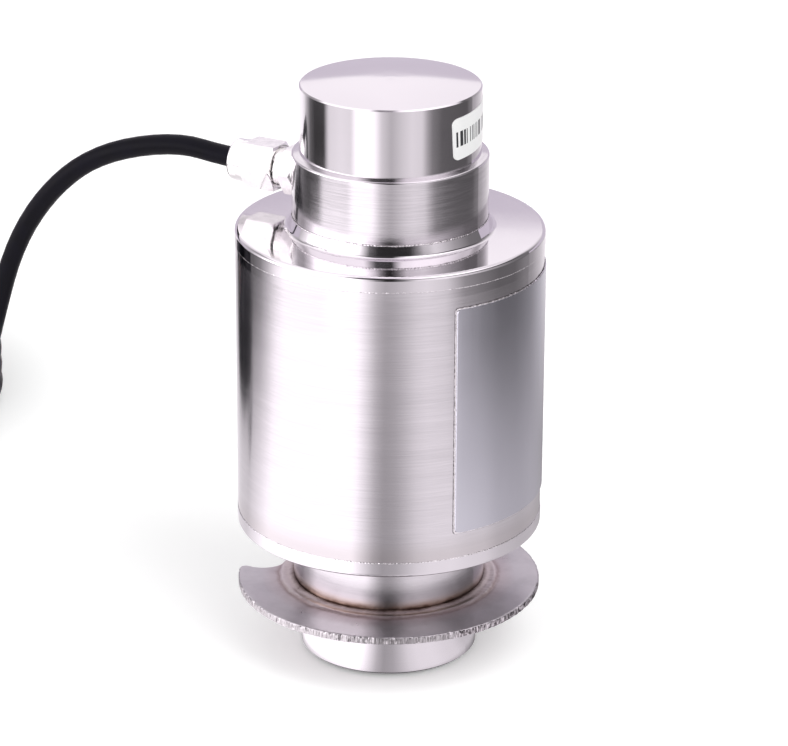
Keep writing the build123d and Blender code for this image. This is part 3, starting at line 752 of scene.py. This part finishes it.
def disc_finish(tones):
    """Matt rolled sheet with a bronze bloom round its weld."""
    graph = Finish("disc_rolled", tones.disc, metallic=1.0)
    point = graph.point()
    parts = graph.parts()
    reach = graph.reach(parts)
    cloud = graph.noise(point, scale=120.0, detail=5.0, roughness=0.6)
    grit = graph.noise(point, scale=1500.0, detail=3.0, roughness=0.7)
    wander = graph.maths("MULTIPLY_ADD", cloud, 3.0 * MM, reach)
    heat = graph.fade(wander, WELD_RADIUS - 1.5 * MM, WELD_RADIUS + 10 * MM)
    tint = graph.ramp(
        heat,
        [
            (0.0, (0.10, 0.065, 0.055)),
            (0.25, (0.16, 0.11, 0.095)),
            (0.34, (0.62, 0.54, 0.52)),
            (0.50, (0.72, 0.65, 0.64)),
            (0.57, (0.40, 0.32, 0.31)),
            (0.66, (0.56, 0.50, 0.51)),
            (1.0, tuple(tones.disc)),
        ],
    )
    stained = graph.ramp(cloud, [(0.32, 0.8), (0.62, 1.0)])
    out = graph.times(tint, stained)
    # the sheared rim: fine upright ticks all round, torn into dark teeth on one side; their dark
    # and bright strokes are painted shade and highlight of the rim's relief
    angle = graph.around(parts)
    ticks = stroke_noise(graph, angle, parts["Z"], 260.0)
    teeth = stroke_noise(graph, angle, parts["Z"], 130.0)
    torn_side = graph.ramp(
        graph.maths("MULTIPLY_ADD", angle, 0.5 / math.pi, 0.5),
        [(0.38, 0.0), (0.41, 1.0), (0.56, 1.0), (0.6, 0.0)],
    )
    sheared = graph.ramp(ticks, [(0.38, (0.2, 0.18, 0.19)), (0.55, (0.62, 0.6, 0.61))])
    crumbs = graph.noise(point, scale=900.0)
    # painted shade in the torn teeth's hollows and painted highlight on their points
    torn = graph.ramp(
        graph.weigh(crumbs, teeth, 0.4),
        [(0.40, (0.03, 0.025, 0.03)), (0.48, (0.22, 0.2, 0.21)), (0.58, (0.74, 0.70, 0.73))],
    )
    edge = graph.maths(
        "MULTIPLY",
        graph.maths("GREATER_THAN", reach, DISC_RADIUS - 0.43 * MM),
        graph.maths("LESS_THAN", parts["Z"], DISC_TOP - 0.22 * MM),
    )
    rim = graph.mix(sheared, torn, torn_side)
    out = graph.mix(out, rim, edge)
    graph.feed(
        Base_Color=out,
        Roughness=graph.spread(cloud, 0.27, 0.37, 0.3, 0.7),
        Normal=graph.bump(grit, 9e-6, graph.bump(cloud, 30e-6)),
    )
    return graph.material


def weld_finish(tones):
    """Rough weld metal with dark pits, a painted highlight on its crest, painted shade at its foot.
    """
    graph = Finish("weld_metal", tones.steel, metallic=1.0)
    point = graph.point()
    pits = graph.noise(point, scale=1300.0, detail=3.0, roughness=0.8)
    # painted light: the bead's colour rises from painted shade at its foot to a painted highlight
    # on its crest
    crest = graph.add("ShaderNodeAttribute", attribute_name="crest").outputs["Fac"]
    pits_and_painted_crest_light = graph.maths("MULTIPLY_ADD", graph.maths("SUBTRACT", pits, 0.5), 0.8, crest)
    colour = graph.ramp(
        pits_and_painted_crest_light,
        [(0.5, (0.035, 0.03, 0.033)), (0.66, (0.42, 0.39, 0.4)), (0.86, (0.93, 0.9, 0.92))],
    )
    graph.feed(
        Base_Color=colour,
        Roughness=graph.spread(pits, 0.5, 0.14, 0.3, 0.65),
        Normal=graph.bump(pits, 22e-6),
    )
    return graph.material


def nickel_finish(tones):
    """Bright nickel plating over machined brass."""
    graph = Finish("nickel_plate", tones.nickel, metallic=1.0)
    point = graph.point()
    wave = graph.noise(point, scale=420.0)
    fine = graph.noise(point, scale=2600.0)
    shade = graph.fade(wave, 0.3, 0.6)
    graph.feed(
        Roughness=graph.spread(fine, 0.07, 0.16, 0.3, 0.7),
        Normal=graph.bump(wave, 6e-6),
        Base_Color=graph.shade(tones.nickel, 0.9, shade),
    )
    return graph.material


def jacket_finish(tones):
    """Black cable jacket with a faint leather-like skin."""
    graph = Finish("jacket_black", tones.jacket, roughness=0.42)
    graph.shader.inputs["Specular IOR Level"].default_value = 0.085
    point = graph.point()
    skin = graph.noise(point, scale=1800.0, detail=3.0, roughness=0.6)
    dust_and_sheen = graph.noise(point, scale=220.0, detail=3.0)
    # lighter patches on the black jacket: partly dust, partly painted sheen
    dust_and_sheen_patches = graph.fade(dust_and_sheen, 0.4, 0.7)
    graph.feed(
        Base_Color=graph.mix(tuple(tones.jacket), dim(tones.jacket, 1.7), dust_and_sheen_patches),
        Roughness=graph.spread(dust_and_sheen, 0.3, 0.52, 0.3, 0.7),
        Normal=graph.bump(skin, 18e-6, graph.bump(dust_and_sheen, 40e-6)),
    )
    return graph.material


def plastic_finish(name, colour, roughness, grain=1500.0):
    """Moulded plastic, rubber or lacquer with a fine skin."""
    graph = Finish(name, colour, roughness=roughness)
    skin = graph.noise(graph.point(), scale=grain, detail=3.0)
    patch = graph.noise(graph.point(), scale=grain / 9)
    shade = graph.fade(patch, 0.3, 0.65)
    graph.feed(
        Base_Color=graph.shade(colour, 0.82, shade),
        Roughness=graph.spread(skin, roughness - 0.06, roughness + 0.08, 0.3, 0.7),
        Normal=graph.bump(skin, 10e-6),
    )
    return graph.material


def label_finish(tones):
    """White film with a plain row of bars across its middle."""
    graph = Finish("label_film", tones.label, roughness=0.35)
    graph.shader.inputs["Coat Weight"].default_value = 0.3
    parts = graph.parts()
    apart = graph.maths("SUBTRACT", graph.around(parts), LABEL_AZIMUTH)
    arc = graph.maths("MULTIPLY", apart, LABEL_RADIUS)
    rise = graph.maths("SUBTRACT", parts["Z"], LABEL_MIDDLE)
    level, tilt = math.cos(LABEL_TILT), math.sin(LABEL_TILT)
    along = graph.maths("MULTIPLY_ADD", arc, level, graph.maths("MULTIPLY", rise, tilt))
    up = graph.maths("MULTIPLY_ADD", rise, level, graph.maths("MULTIPLY", arc, -tilt))
    cell = graph.maths("FLOOR", graph.maths("DIVIDE", along, BAR_PITCH))
    chance = graph.add("ShaderNodeTexWhiteNoise", {"W": cell}, noise_dimensions="1D")
    dark = graph.maths("GREATER_THAN", chance.outputs["Value"], BAR_GAPS)
    in_row = graph.maths("LESS_THAN", graph.maths("ABSOLUTE", along), BAR_REACH)
    in_bar = graph.maths("LESS_THAN", graph.maths("ABSOLUTE", up), BAR_HALF_HEIGHT)
    ink = graph.maths("MULTIPLY", graph.maths("MULTIPLY", dark, in_row), in_bar)
    fibre = graph.noise(graph.point(), scale=2200.0)
    paper = graph.shade(tones.label, 0.96, fibre)
    graph.feed(
        Base_Color=graph.mix(paper, (0.03, 0.03, 0.035), ink),
        Normal=graph.bump(fibre, 3e-6),
    )
    return graph.material


def foil_finish(name, colour, pitch):
    """Amber film with a metal grid in it."""
    graph = Finish(name, colour, roughness=0.3)
    stripe = graph.maths("FRACT", graph.maths("DIVIDE", graph.parts()["Z"], pitch))
    metal = graph.maths("GREATER_THAN", stripe, 0.55)
    grain = graph.noise(graph.point(), scale=1200.0)
    graph.feed(
        Base_Color=graph.mix(colour, (0.55, 0.42, 0.28), metal),
        Metallic=graph.maths("MULTIPLY", metal, 0.9),
        Normal=graph.bump(grain, 4e-6),
    )
    return graph.material


def laminate_finish(tones):
    """Green board with paler ring-shaped tracks under the lacquer."""
    graph = Finish("laminate_green", tones.laminate, roughness=0.3)
    rings = graph.ring_vector()
    weave = graph.noise(graph.point(), scale=1400.0)
    tracks = graph.noise(graph.stretch(rings, (500, 1, 1)), detail=0.0)
    line = graph.ramp(tracks, [(0.52, 0.0), (0.54, 1.0), (0.60, 1.0), (0.62, 0.0)])
    graph.feed(
        Base_Color=graph.mix(tuple(tones.laminate), (0.10, 0.30, 0.12), line),
        Normal=graph.bump(weave, 8e-6),
    )
    return graph.material


def shade_by_angle(piece, degrees):
    """Smooth the piece, with edges sharper than this kept sharp."""
    piece.data.shade_smooth()
    piece.data.set_sharp_from_angle(angle=math.radians(degrees))


def settle(piece, slot, *nodes):
    """The piece rides on the column and stands for the nodes, which it hides; the slot is not used.
    """
    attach(piece, "root")
    if nodes:
        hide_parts(*nodes)


def spin_round(bm, steps, centre=(0, 0, 0), axis=(0, 0, 1)):
    """Spin all of the mesh's points and edges a full turn and close the seam."""
    bmesh.ops.spin(
        bm,
        geom=bm.verts[:] + bm.edges[:],
        cent=centre,
        axis=axis,
        angle=2 * math.pi,
        steps=steps,
        use_merge=True,
    )
    bmesh.ops.remove_doubles(bm, verts=bm.verts, dist=1e-7)
    bmesh.ops.recalc_face_normals(bm, faces=bm.faces)


def draw_outline(bm, corners):
    """Points and edges round a closed outline."""
    verts = [bm.verts.new(corner) for corner in corners]
    for first, second in zip(verts, verts[1:] + verts[:1]):
        bm.edges.new((first, second))


def draw_path(name, kind, places):
    """A curve with one spline of this kind through the places, and that spline."""
    data = bpy.data.curves.new(name, "CURVE")
    data.dimensions = "3D"
    spline = data.splines.new(kind)
    spline.points.add(len(places) - 1)
    for point, place in zip(spline.points, places):
        point.co = (*place, 1)
    return data, spline


def weld_swell(place, along, pitch, seed):
    """How much a weld bead swells here: overlapping drops and a little chance."""
    drop = along / pitch % 1.0
    crest = 1.0 - (2.0 * drop - 1.0) ** 2
    return 0.82 + 0.22 * crest + 0.35 * noise.noise(place * 1100 + Vector((seed, 0, 0)))


def weld_ring(name, radius, height, bead, seed, material):
    """A weld bead round the column."""
    bm = bmesh.new()
    bmesh.ops.create_circle(bm, segments=8, radius=bead)
    bmesh.ops.rotate(bm, verts=bm.verts, matrix=Matrix.Rotation(math.pi / 2, 3, "X"))
    bmesh.ops.translate(bm, verts=bm.verts, vec=(radius, 0, height))
    spin_round(bm, round(2 * math.pi * radius / WELD_PITCH * 4))
    # how far out across the bead a point lies, which the weld finish paints as highlight and shade
    crest = bm.verts.layers.float.new("crest")
    for vert in bm.verts:
        angle = math.atan2(vert.co.y, vert.co.x)
        centre = Vector((radius * math.cos(angle), radius * math.sin(angle), height))
        vert[crest] = (vert.co.xy.length - radius) / bead
        swell = weld_swell(centre, angle * radius, WELD_PITCH, seed)
        wander = 0.25 * bead * noise.noise(centre * 300 + Vector((0, seed, 0)))
        vert.co = centre + (vert.co - centre) * swell + Vector((0, 0, wander))
    piece = new_object(name, bm, material)
    shade_by_angle(piece, 60)
    settle(piece, "column_steel")


class LOADCELL_OT_column(bpy.types.Operator):
    """Finish the turned column"""

    bl_idname = "load_cell.column"
    bl_label = "Column"

    def execute(self, context):
        dress("load_column", column_finish(context.scene.load_cell_finishes))
        return {"FINISHED"}


class LOADCELL_OT_housing(bpy.types.Operator):
    """Finish the two covers and the tube between them"""

    bl_idname = "load_cell.housing"
    bl_label = "Housing"

    def execute(self, context):
        tones = context.scene.load_cell_finishes
        polished = turned_steel("cover_polished", tones.steel, 0.05, 0.09, 0.8e-6).material
        dress("top_cover", polished)
        dress("bottom_cover", polished)
        dress("housing_tube", tube_finish(tones))
        return {"FINISHED"}


class LOADCELL_OT_welds(bpy.types.Operator):
    """Lay the weld beads round the hubs, the covers and the name plate"""

    bl_idname = "load_cell.welds"
    bl_label = "Welds"

    def execute(self, context):
        material = weld_finish(context.scene.load_cell_finishes)
        sizes = context.scene.load_cell_sizes
        bottom_seam, top_seam = (corner.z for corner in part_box("housing_tube"))
        top_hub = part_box("top_cover")[1].z
        bottom_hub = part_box("bottom_cover")[0].z
        for seed, (name, radius, height) in enumerate(
            (
                ("weld_top_rim", RIM_WELD_RADIUS, top_seam),
                ("weld_bottom_rim", RIM_WELD_RADIUS, bottom_seam),
                ("weld_top_hub", HUB_WELD_RADIUS, top_hub),
                ("weld_bottom_hub", HUB_WELD_RADIUS, bottom_hub),
            )
        ):
            weld_ring(name, radius, height, sizes.seam_bead, seed, material)
        self.lay_plate_weld(material, sizes.plate_bead)
        return {"FINISHED"}

    def lay_plate_weld(self, material, bead):
        """The bead all round the name plate, drawn flat and bent round the tube."""
        lowest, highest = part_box("name_plate")
        half_width = PLATE_WELD_RADIUS * PLATE_HALF_ANGLE
        half_height = (highest.z - lowest.z) / 2
        bm = bmesh.new()
        bmesh.ops.create_grid(bm, x_segments=1, y_segments=1, size=1.0)
        bmesh.ops.scale(bm, vec=(half_width, half_height, 1), verts=bm.verts)
        bmesh.ops.bevel(
            bm,
            geom=bm.verts[:],
            offset=PLATE_WELD_CORNER,
            segments=5,
            profile=0.5,
            affect="VERTICES",
            material=-1,
        )
        bm.faces.ensure_lookup_table()
        loop = [corner.vert.co.copy() for corner in bm.faces[0].loops]
        bm.free()
        places = []
        for first, second in zip(loop, loop[1:] + loop[:1]):
            steps = max(1, round((second - first).length / WELD_STEP))
            places += [first.lerp(second, step / steps) for step in range(steps)]
        data, spline = draw_path("plate_weld_path", "POLY", places)
        spline.use_cyclic_u = True
        data.bevel_depth = bead
        data.bevel_resolution = 2
        path = bpy.data.objects.new("plate_weld_path", data)
        mesh = bpy.data.meshes.new_from_object(path)
        bpy.data.objects.remove(path)
        bm = bmesh.new()
        bm.from_mesh(mesh)
        bpy.data.meshes.remove(mesh)
        middle = middle_height("name_plate")
        # how far up the bead a point lies, which the weld finish paints as highlight and shade
        crest = bm.verts.layers.float.new("crest")
        for vert in bm.verts:
            vert[crest] = vert.co.z / bead
            flat = Vector((vert.co.x, vert.co.y, 0))
            along = flat.x + flat.y
            swell = weld_swell(flat, along, WELD_PITCH, 5.0)
            jitter = WELD_JITTER * noise.noise(vert.co * 1500)
            angle = vert.co.x / PLATE_WELD_RADIUS
            out = PLATE_WELD_RADIUS + 0.8 * vert.co.z * swell + 0.5 * jitter
            vert.co = (out * math.cos(angle), out * math.sin(angle), middle + vert.co.y + jitter)
        bmesh.ops.recalc_face_normals(bm, faces=bm.faces)
        piece = new_object("weld_name_plate", bm, material)
        shade_by_angle(piece, 60)
        settle(piece, "plate_steel")


class LOADCELL_OT_anti_rotation_plate(bpy.types.Operator):
    """Make the notched disc with its sheared edge and its weld round the neck"""

    bl_idname = "load_cell.anti_rotation_plate"
    bl_label = "Anti-rotation Plate"

    def execute(self, context):
        tones = context.scene.load_cell_finishes
        bm = bmesh.new()
        rim, bottom, top = DISC_RADIUS, DISC_BOTTOM, DISC_TOP
        outline = [
            (DISC_BORE, bottom),
            (30.0 * MM, bottom),
            (rim - 0.4 * MM, bottom),
            (rim - 0.15 * MM, bottom + 0.1 * MM),
            *((rim, bottom + 0.25 * MM * step) for step in range(1, 8)),
            (rim - 0.12 * MM, top - 0.1 * MM),
            (rim - 0.35 * MM, top),
            (rim - 0.65 * MM, top),
            (33.0 * MM, top),
            (WELD_REACH, top),
            *((radius * MM, top + rise * MM) for radius, rise in DISC_WELD_MM),
            (DISC_WELD_MM[-1][0] * MM, top),
            (DISC_BORE, top),
        ]
        draw_outline(bm, [(radius, 0, height) for radius, height in outline])
        spin_round(bm, DISC_STEPS)
        blank = new_object("disc_blank", bm)
        tool = self.notch_tool()
        cut = blank.modifiers.new("notch", "BOOLEAN")
        cut.operation = "DIFFERENCE"
        cut.object = tool
        cut.solver = "EXACT"
        bpy.context.view_layer.update()
        graph = bpy.context.evaluated_depsgraph_get()
        mesh = bpy.data.meshes.new_from_object(blank.evaluated_get(graph))
        bm = bmesh.new()
        bm.from_mesh(mesh)
        for spare in (blank, tool):
            bpy.data.objects.remove(spare)
        bmesh.ops.remove_doubles(bm, verts=bm.verts, dist=1e-6)
        self.roughen(bm)
        piece = new_object("anti_rotation_disc", bm, disc_finish(tones))
        shade_by_angle(piece, 40)
        settle(piece, "disc_steel", "anti_rotation_plate")
        return {"FINISHED"}

    def notch_tool(self):
        """The block that cuts the notch, rounded at its floor and flared at its mouth."""
        side = NOTCH_HALF_WIDTH + NOTCH_MOUTH
        middle = Vector((-math.sqrt((DISC_RADIUS - NOTCH_MOUTH) ** 2 - side**2), side))
        corner = Vector((-NOTCH_FLOOR - NOTCH_CORNER, NOTCH_HALF_WIDTH - NOTCH_CORNER))
        outward = math.atan2(middle.y, middle.x)
        arcs = (
            (corner, NOTCH_CORNER, 0.0, math.pi / 2, 14),
            (middle, NOTCH_MOUTH, 1.5 * math.pi, outward, 8),
        )
        outline = []
        for centre, radius, start, end, steps in arcs:
            for step in range(steps + 1):
                turn = start + (end - start) * step / steps
                outline.append(centre + radius * Vector((math.cos(turn), math.sin(turn))))
        outline.append(middle * 1.2)
        outline.append(Vector((-1.3 * DISC_RADIUS, middle.y * 1.2)))
        outline += [Vector((point.x, -point.y)) for point in reversed(outline)]
        tool_bottom, tool_height = 14 * MM, 8 * MM
        bm = bmesh.new()
        face = bm.faces.new([bm.verts.new((*point, tool_bottom)) for point in outline])
        grown = bmesh.ops.extrude_face_region(bm, geom=[face])["geom"]
        moved = [item for item in grown if isinstance(item, bmesh.types.BMVert)]
        bmesh.ops.translate(bm, verts=moved, vec=(0, 0, tool_height))
        bmesh.ops.recalc_face_normals(bm, faces=bm.faces)
        return new_object("notch_tool", bm)

    def roughen(self, bm):
        """Tear the sheared rim and ripple the weld, leaving the flat faces alone."""
        for vert in bm.verts:
            reach = vert.co.xy.length
            angle = math.atan2(vert.co.y, vert.co.x)
            if reach > DISC_RADIUS - 0.55 * MM:
                torn = noise.noise(Vector((angle * 130, vert.co.z * 1100, 3.0)))
                chip = noise.noise(Vector((angle * 40, vert.co.z * 300, 9.0)))
                depth = TOOTH_DEPTH * min(0.0, torn) + CHIP_DEPTH * min(0.0, chip + 0.1)
                depth *= 1.5 if abs(math.degrees(angle) - TORN_AZIMUTH) < TORN_REACH else 1.0
                drop = TOOTH_DEPTH * torn if vert.co.z < DISC_BOTTOM + 0.3 * MM else 0.0
                vert.co += Vector((math.cos(angle), math.sin(angle), 0)) * depth
                vert.co.z += max(drop, 0.0)
            elif reach < WELD_REACH and vert.co.z > DISC_TOP + 0.05 * MM:
                drops = weld_swell(vert.co * 0.6, angle * RIPPLE_RADIUS, RIPPLE_PITCH, 7.0) - 1.0
                vert.co.z = max(vert.co.z + RIPPLE_DEPTH * drops, DISC_TOP + 0.02 * MM)


class LOADCELL_OT_plates(bpy.types.Operator):
    """Finish the name plate and the label"""

    bl_idname = "load_cell.plates"
    bl_label = "Name Plate and Label"

    def execute(self, context):
        tones = context.scene.load_cell_finishes
        dress("name_plate", plate_finish(tones))
        dress("bar_label", label_finish(tones))
        return {"FINISHED"}


class LOADCELL_OT_gland(bpy.types.Operator):
    """Finish the gland and cut the threads that show between its two hexagons"""

    bl_idname = "load_cell.gland"
    bl_label = "Gland"

    def execute(self, context):
        tones = context.scene.load_cell_finishes
        nickel = nickel_finish(tones)
        for node in ("gland_boss", "gland_body", "gland_nut"):
            dress(node, nickel)
        dress("gland_seal_ring", plastic_finish("ring_rubber", (0.02, 0.02, 0.02), 0.55))
        dress("gland_seal", plastic_finish("seal_rubber", (0.025, 0.025, 0.025), 0.55))
        dress("gland_cage", plastic_finish("cage_nylon", (0.5, 0.5, 0.48), 0.4))
        bm = bmesh.new()
        sizes = context.scene.load_cell_sizes
        pitch, root, crest = sizes.thread_pitch, sizes.thread_root, sizes.thread_crest
        profile = [(0.0, root - 0.1 * MM)]
        for tooth in range(sizes.thread_teeth):
            start = tooth * pitch
            profile += [
                (start + 0.1 * pitch, root),
                (start + 0.45 * pitch, crest),
                (start + 0.55 * pitch, crest),
                (start + 0.9 * pitch, root),
            ]
        profile.append((sizes.thread_teeth * pitch, root - 0.1 * MM))
        draw_outline(bm, [(THREAD_BACK - run, 0, GLAND_HEIGHT + reach) for run, reach in profile])
        spin_round(bm, 64, centre=(0, 0, GLAND_HEIGHT), axis=(1, 0, 0))
        thread = new_object("gland_thread", bm, nickel)
        shade_by_angle(thread, 20)
        settle(thread, "gland_nickel")
        return {"FINISHED"}


class LOADCELL_OT_inside(bpy.types.Operator):
    """Finish the gauges, the board and the wires inside the housing"""

    bl_idname = "load_cell.inside"
    bl_label = "Inside"

    def execute(self, context):
        tones = context.scene.load_cell_finishes
        dress("circuit_board", laminate_finish(tones))
        brass = turned_steel("spacer_brass", (0.78, 0.58, 0.27), 0.15, 0.3, 2e-6).material
        dress("board_spacers", brass)
        screws = turned_steel("screw_zinc", (0.6, 0.6, 0.58), 0.2, 0.35, 2e-6).material
        dress("board_screws", screws)
        dress("trim_resistors", plastic_finish("resistor_blue", (0.05, 0.16, 0.32), 0.35))
        foil = foil_finish("gauge_foil", (0.42, 0.2, 0.04), 0.4 * MM)
        dress("axial_gauges", foil)
        dress("cross_gauges", foil)
        dress("terminal_pads", foil_finish("terminal_film", (0.35, 0.17, 0.05), 1.6 * MM))
        dress("gauge_wires", plastic_finish("wire_red", (0.35, 0.03, 0.03), 0.4))
        dress("inner_leads", plastic_finish("lead_white", (0.6, 0.6, 0.58), 0.4))
        return {"FINISHED"}


def coil_slots(sizes):
    """Radius and height of each turn: layer by layer, inwards and outwards in turn."""
    pitch = sizes.cable_diameter
    middle = (sizes.coil_columns - 1) / 2
    first = Vector(CABLE_ROUTE_MM[-1]).z * MM
    slots = []
    for layer in range(sizes.coil_layers):
        columns = range(sizes.coil_columns)
        for column in columns if layer % 2 else reversed(columns):
            radius = sizes.coil_radius + (column - middle) * pitch
            slots.append((radius, first + layer * pitch))
    return slots


def coil_points(sizes, start_angle):
    """Control points of the wound turns and of the last strand, which lies on top of them."""
    pitch = sizes.cable_diameter
    slots = coil_slots(sizes)
    top = slots[-1][1] + TOP_STRAND_RISE * pitch
    slots.append((slots[-1][0], top))
    step_angle = 2 * math.pi / COIL_STEPS
    reach = 1 / math.cos(step_angle / 2)
    angle = start_angle + step_angle / 2
    points = []
    for (radius, height), (next_radius, next_height) in zip(slots, slots[1:]):
        for step in range(COIL_STEPS):
            if step == COIL_STEPS - 1:
                if next_height > height:
                    side = 1 if radius > sizes.coil_radius else -1
                    radius, height = radius + side * CLIMB_BULGE, (height + next_height) / 2
                else:
                    radius = (radius + next_radius) / 2
            points.append(polar(angle, radius * reach, height))
            angle += step_angle
    return points, top


def polar(angle, radius, height):
    """A place in the coil, which winds clockwise as seen from above."""
    return COIL_CENTRE + Vector((radius * math.cos(angle), -radius * math.sin(angle), height))


def chord(out, along, height):
    """A place on the coil's top where the cable ends: out from its centre, and along the end."""
    return polar(END_AZIMUTH + math.atan2(along, out), math.hypot(out, along), height)


class LOADCELL_OT_cable(bpy.types.Operator):
    """Run the cable from the gland to the floor and wind it into its tied coil"""

    bl_idname = "load_cell.cable"
    bl_label = "Cable"

    def execute(self, context):
        sizes = context.scene.load_cell_sizes
        route = [Vector(point) * MM for point in CABLE_ROUTE_MM]
        heading = route[-1] - route[-2]
        start = math.atan2(-heading.x, -heading.y)
        turns, top = coil_points(sizes, start)
        points = route + turns
        # last strand: a slow spiral over the coil that ends along a chord
        step_angle = 2 * math.pi / COIL_STEPS
        last_angle = END_AZIMUTH - step_angle / 2
        first_angle = start + step_angle / 2
        steps = 1 + round((last_angle - first_angle) / step_angle)
        outer = coil_slots(sizes)[-1][0]
        for step in range(steps):
            part = step / (steps - 1)
            angle = first_angle + (last_angle - first_angle) * part
            radius = outer + (sizes.coil_radius - outer) * part
            lift = max(tie_lift(angle, tie) for tie in TIE_AZIMUTHS)
            points.append(polar(angle, radius / math.cos(step_angle / 2), top + lift))
        points += [chord(sizes.coil_radius, along, top) for along in LAST_CHORD]
        data, spline = draw_path("cable", "NURBS", points)
        spline.order_u = 3
        spline.use_endpoint_u = True
        spline.resolution_u = 5
        data.bevel_depth = sizes.cable_diameter / 2
        data.bevel_resolution = 5
        data.use_fill_caps = True
        data.materials.append(jacket_finish(context.scene.load_cell_finishes))
        cable = link(bpy.data.objects.new("cable", data))
        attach(cable, "root")
        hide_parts("cable_run", "cable_coil")
        bare_ends = self.finish_end()
        return {"FINISHED"}

    def finish_end(self):
        """Finish the ties, the sleeve and the cores, and bare the tinned strands at their tips."""
        dress("cable_ties", plastic_finish("tie_nylon", (0.03, 0.03, 0.03), 0.38))
        dress("cable_end_sleeve", plastic_finish("sleeve_shrink", (0.02, 0.02, 0.022), 0.5, 700.0))
        for name, tone in CORE_TONES.items():
            dress(f"core_{name}", plastic_finish(f"core_{name}", tone, 0.38))
        bm = bmesh.new()
        out, along, height = FAN_TIP_MM
        for fan in (-1.5, -0.5, 0.5, 1.5):
            across = fan * FAN_STEP_MM
            root = math.copysign(FAN_ROOT_MM, fan)
            slope = Vector((across - root, FAN_LENGTH_MM, 0)).normalized()
            tip = Vector((out + across, along, height))
            for strand in range(STRAND_COUNT):
                turn = strand * math.pi / 3
                reach = 0.0 if strand == STRAND_COUNT - 1 else 2 * STRAND_RADIUS_MM
                shift = Vector((slope.y, -slope.x, 0)) * reach * math.cos(turn)
                shift.z = reach * math.sin(turn)
                middle = tip + slope * BARE_REACH_MM + shift
                place = chord(*(middle * MM))
                onwards = chord(*((middle + slope) * MM)) - place
                twist = onwards.to_track_quat("Z", "Y").to_matrix().to_4x4()
                bmesh.ops.create_cone(
                    bm,
                    cap_ends=True,
                    segments=8,
                    radius1=STRAND_RADIUS_MM * MM,
                    radius2=STRAND_RADIUS_MM * MM,
                    depth=BARE_LENGTH_MM * MM,
                    matrix=Matrix.Translation(place) @ twist,
                )
        tin = turned_steel("tinned_copper", (0.75, 0.74, 0.72), 0.18, 0.32, 1e-6)
        piece = new_object("bare_core_ends", bm, tin.material)
        shade_by_angle(piece, 40)
        settle(piece, "screw_steel")
        return piece


def tie_lift(angle, tie):
    """How far the last strand rises to pass over a tie."""
    apart = math.degrees(angle) % 360 - tie
    return TIE_LIFT * math.exp(-((apart / TIE_RAMP) ** 2))


class LOADCELL_PT_panel(bpy.types.Panel):
    """Shows the load cell's settings and the buttons that build it"""

    bl_idname = "LOADCELL_PT_panel"
    bl_label = "Load Cell"
    bl_space_type = "VIEW_3D"
    bl_region_type = "UI"
    bl_category = "Load Cell"

    def draw(self, context):
        for group in SETTINGS:
            settings = getattr(context.scene, group)
            for name in settings.__annotations__:
                self.layout.prop(settings, name)
        for operator in OPERATORS:
            self.layout.operator(operator.bl_idname)


SETTINGS = {
    "load_cell_stage": LoadCellStage,
    "load_cell_sizes": LoadCellSizes,
    "load_cell_finishes": LoadCellFinishes,
}
OPERATORS = (
    LOADCELL_OT_stage,
    LOADCELL_OT_column,
    LOADCELL_OT_housing,
    LOADCELL_OT_welds,
    LOADCELL_OT_anti_rotation_plate,
    LOADCELL_OT_plates,
    LOADCELL_OT_gland,
    LOADCELL_OT_inside,
    LOADCELL_OT_cable,
)


def register():
    for kind in (*SETTINGS.values(), *OPERATORS, LOADCELL_PT_panel):
        bpy.utils.register_class(kind)
    for name, kind in SETTINGS.items():
        setattr(bpy.types.Scene, name, PointerProperty(type=kind))


def unregister():
    for name in SETTINGS:
        delattr(bpy.types.Scene, name)
    for kind in reversed((*SETTINGS.values(), *OPERATORS, LOADCELL_PT_panel)):
        bpy.utils.unregister_class(kind)


def main():
    register()
    bpy.ops.load_cell.stage()
    bpy.ops.load_cell.column()
    bpy.ops.load_cell.housing()
    bpy.ops.load_cell.welds()
    bpy.ops.load_cell.anti_rotation_plate()
    bpy.ops.load_cell.plates()
    bpy.ops.load_cell.gland()
    bpy.ops.load_cell.inside()
    bpy.ops.load_cell.cable()


if __name__ == "__main__":
    main()
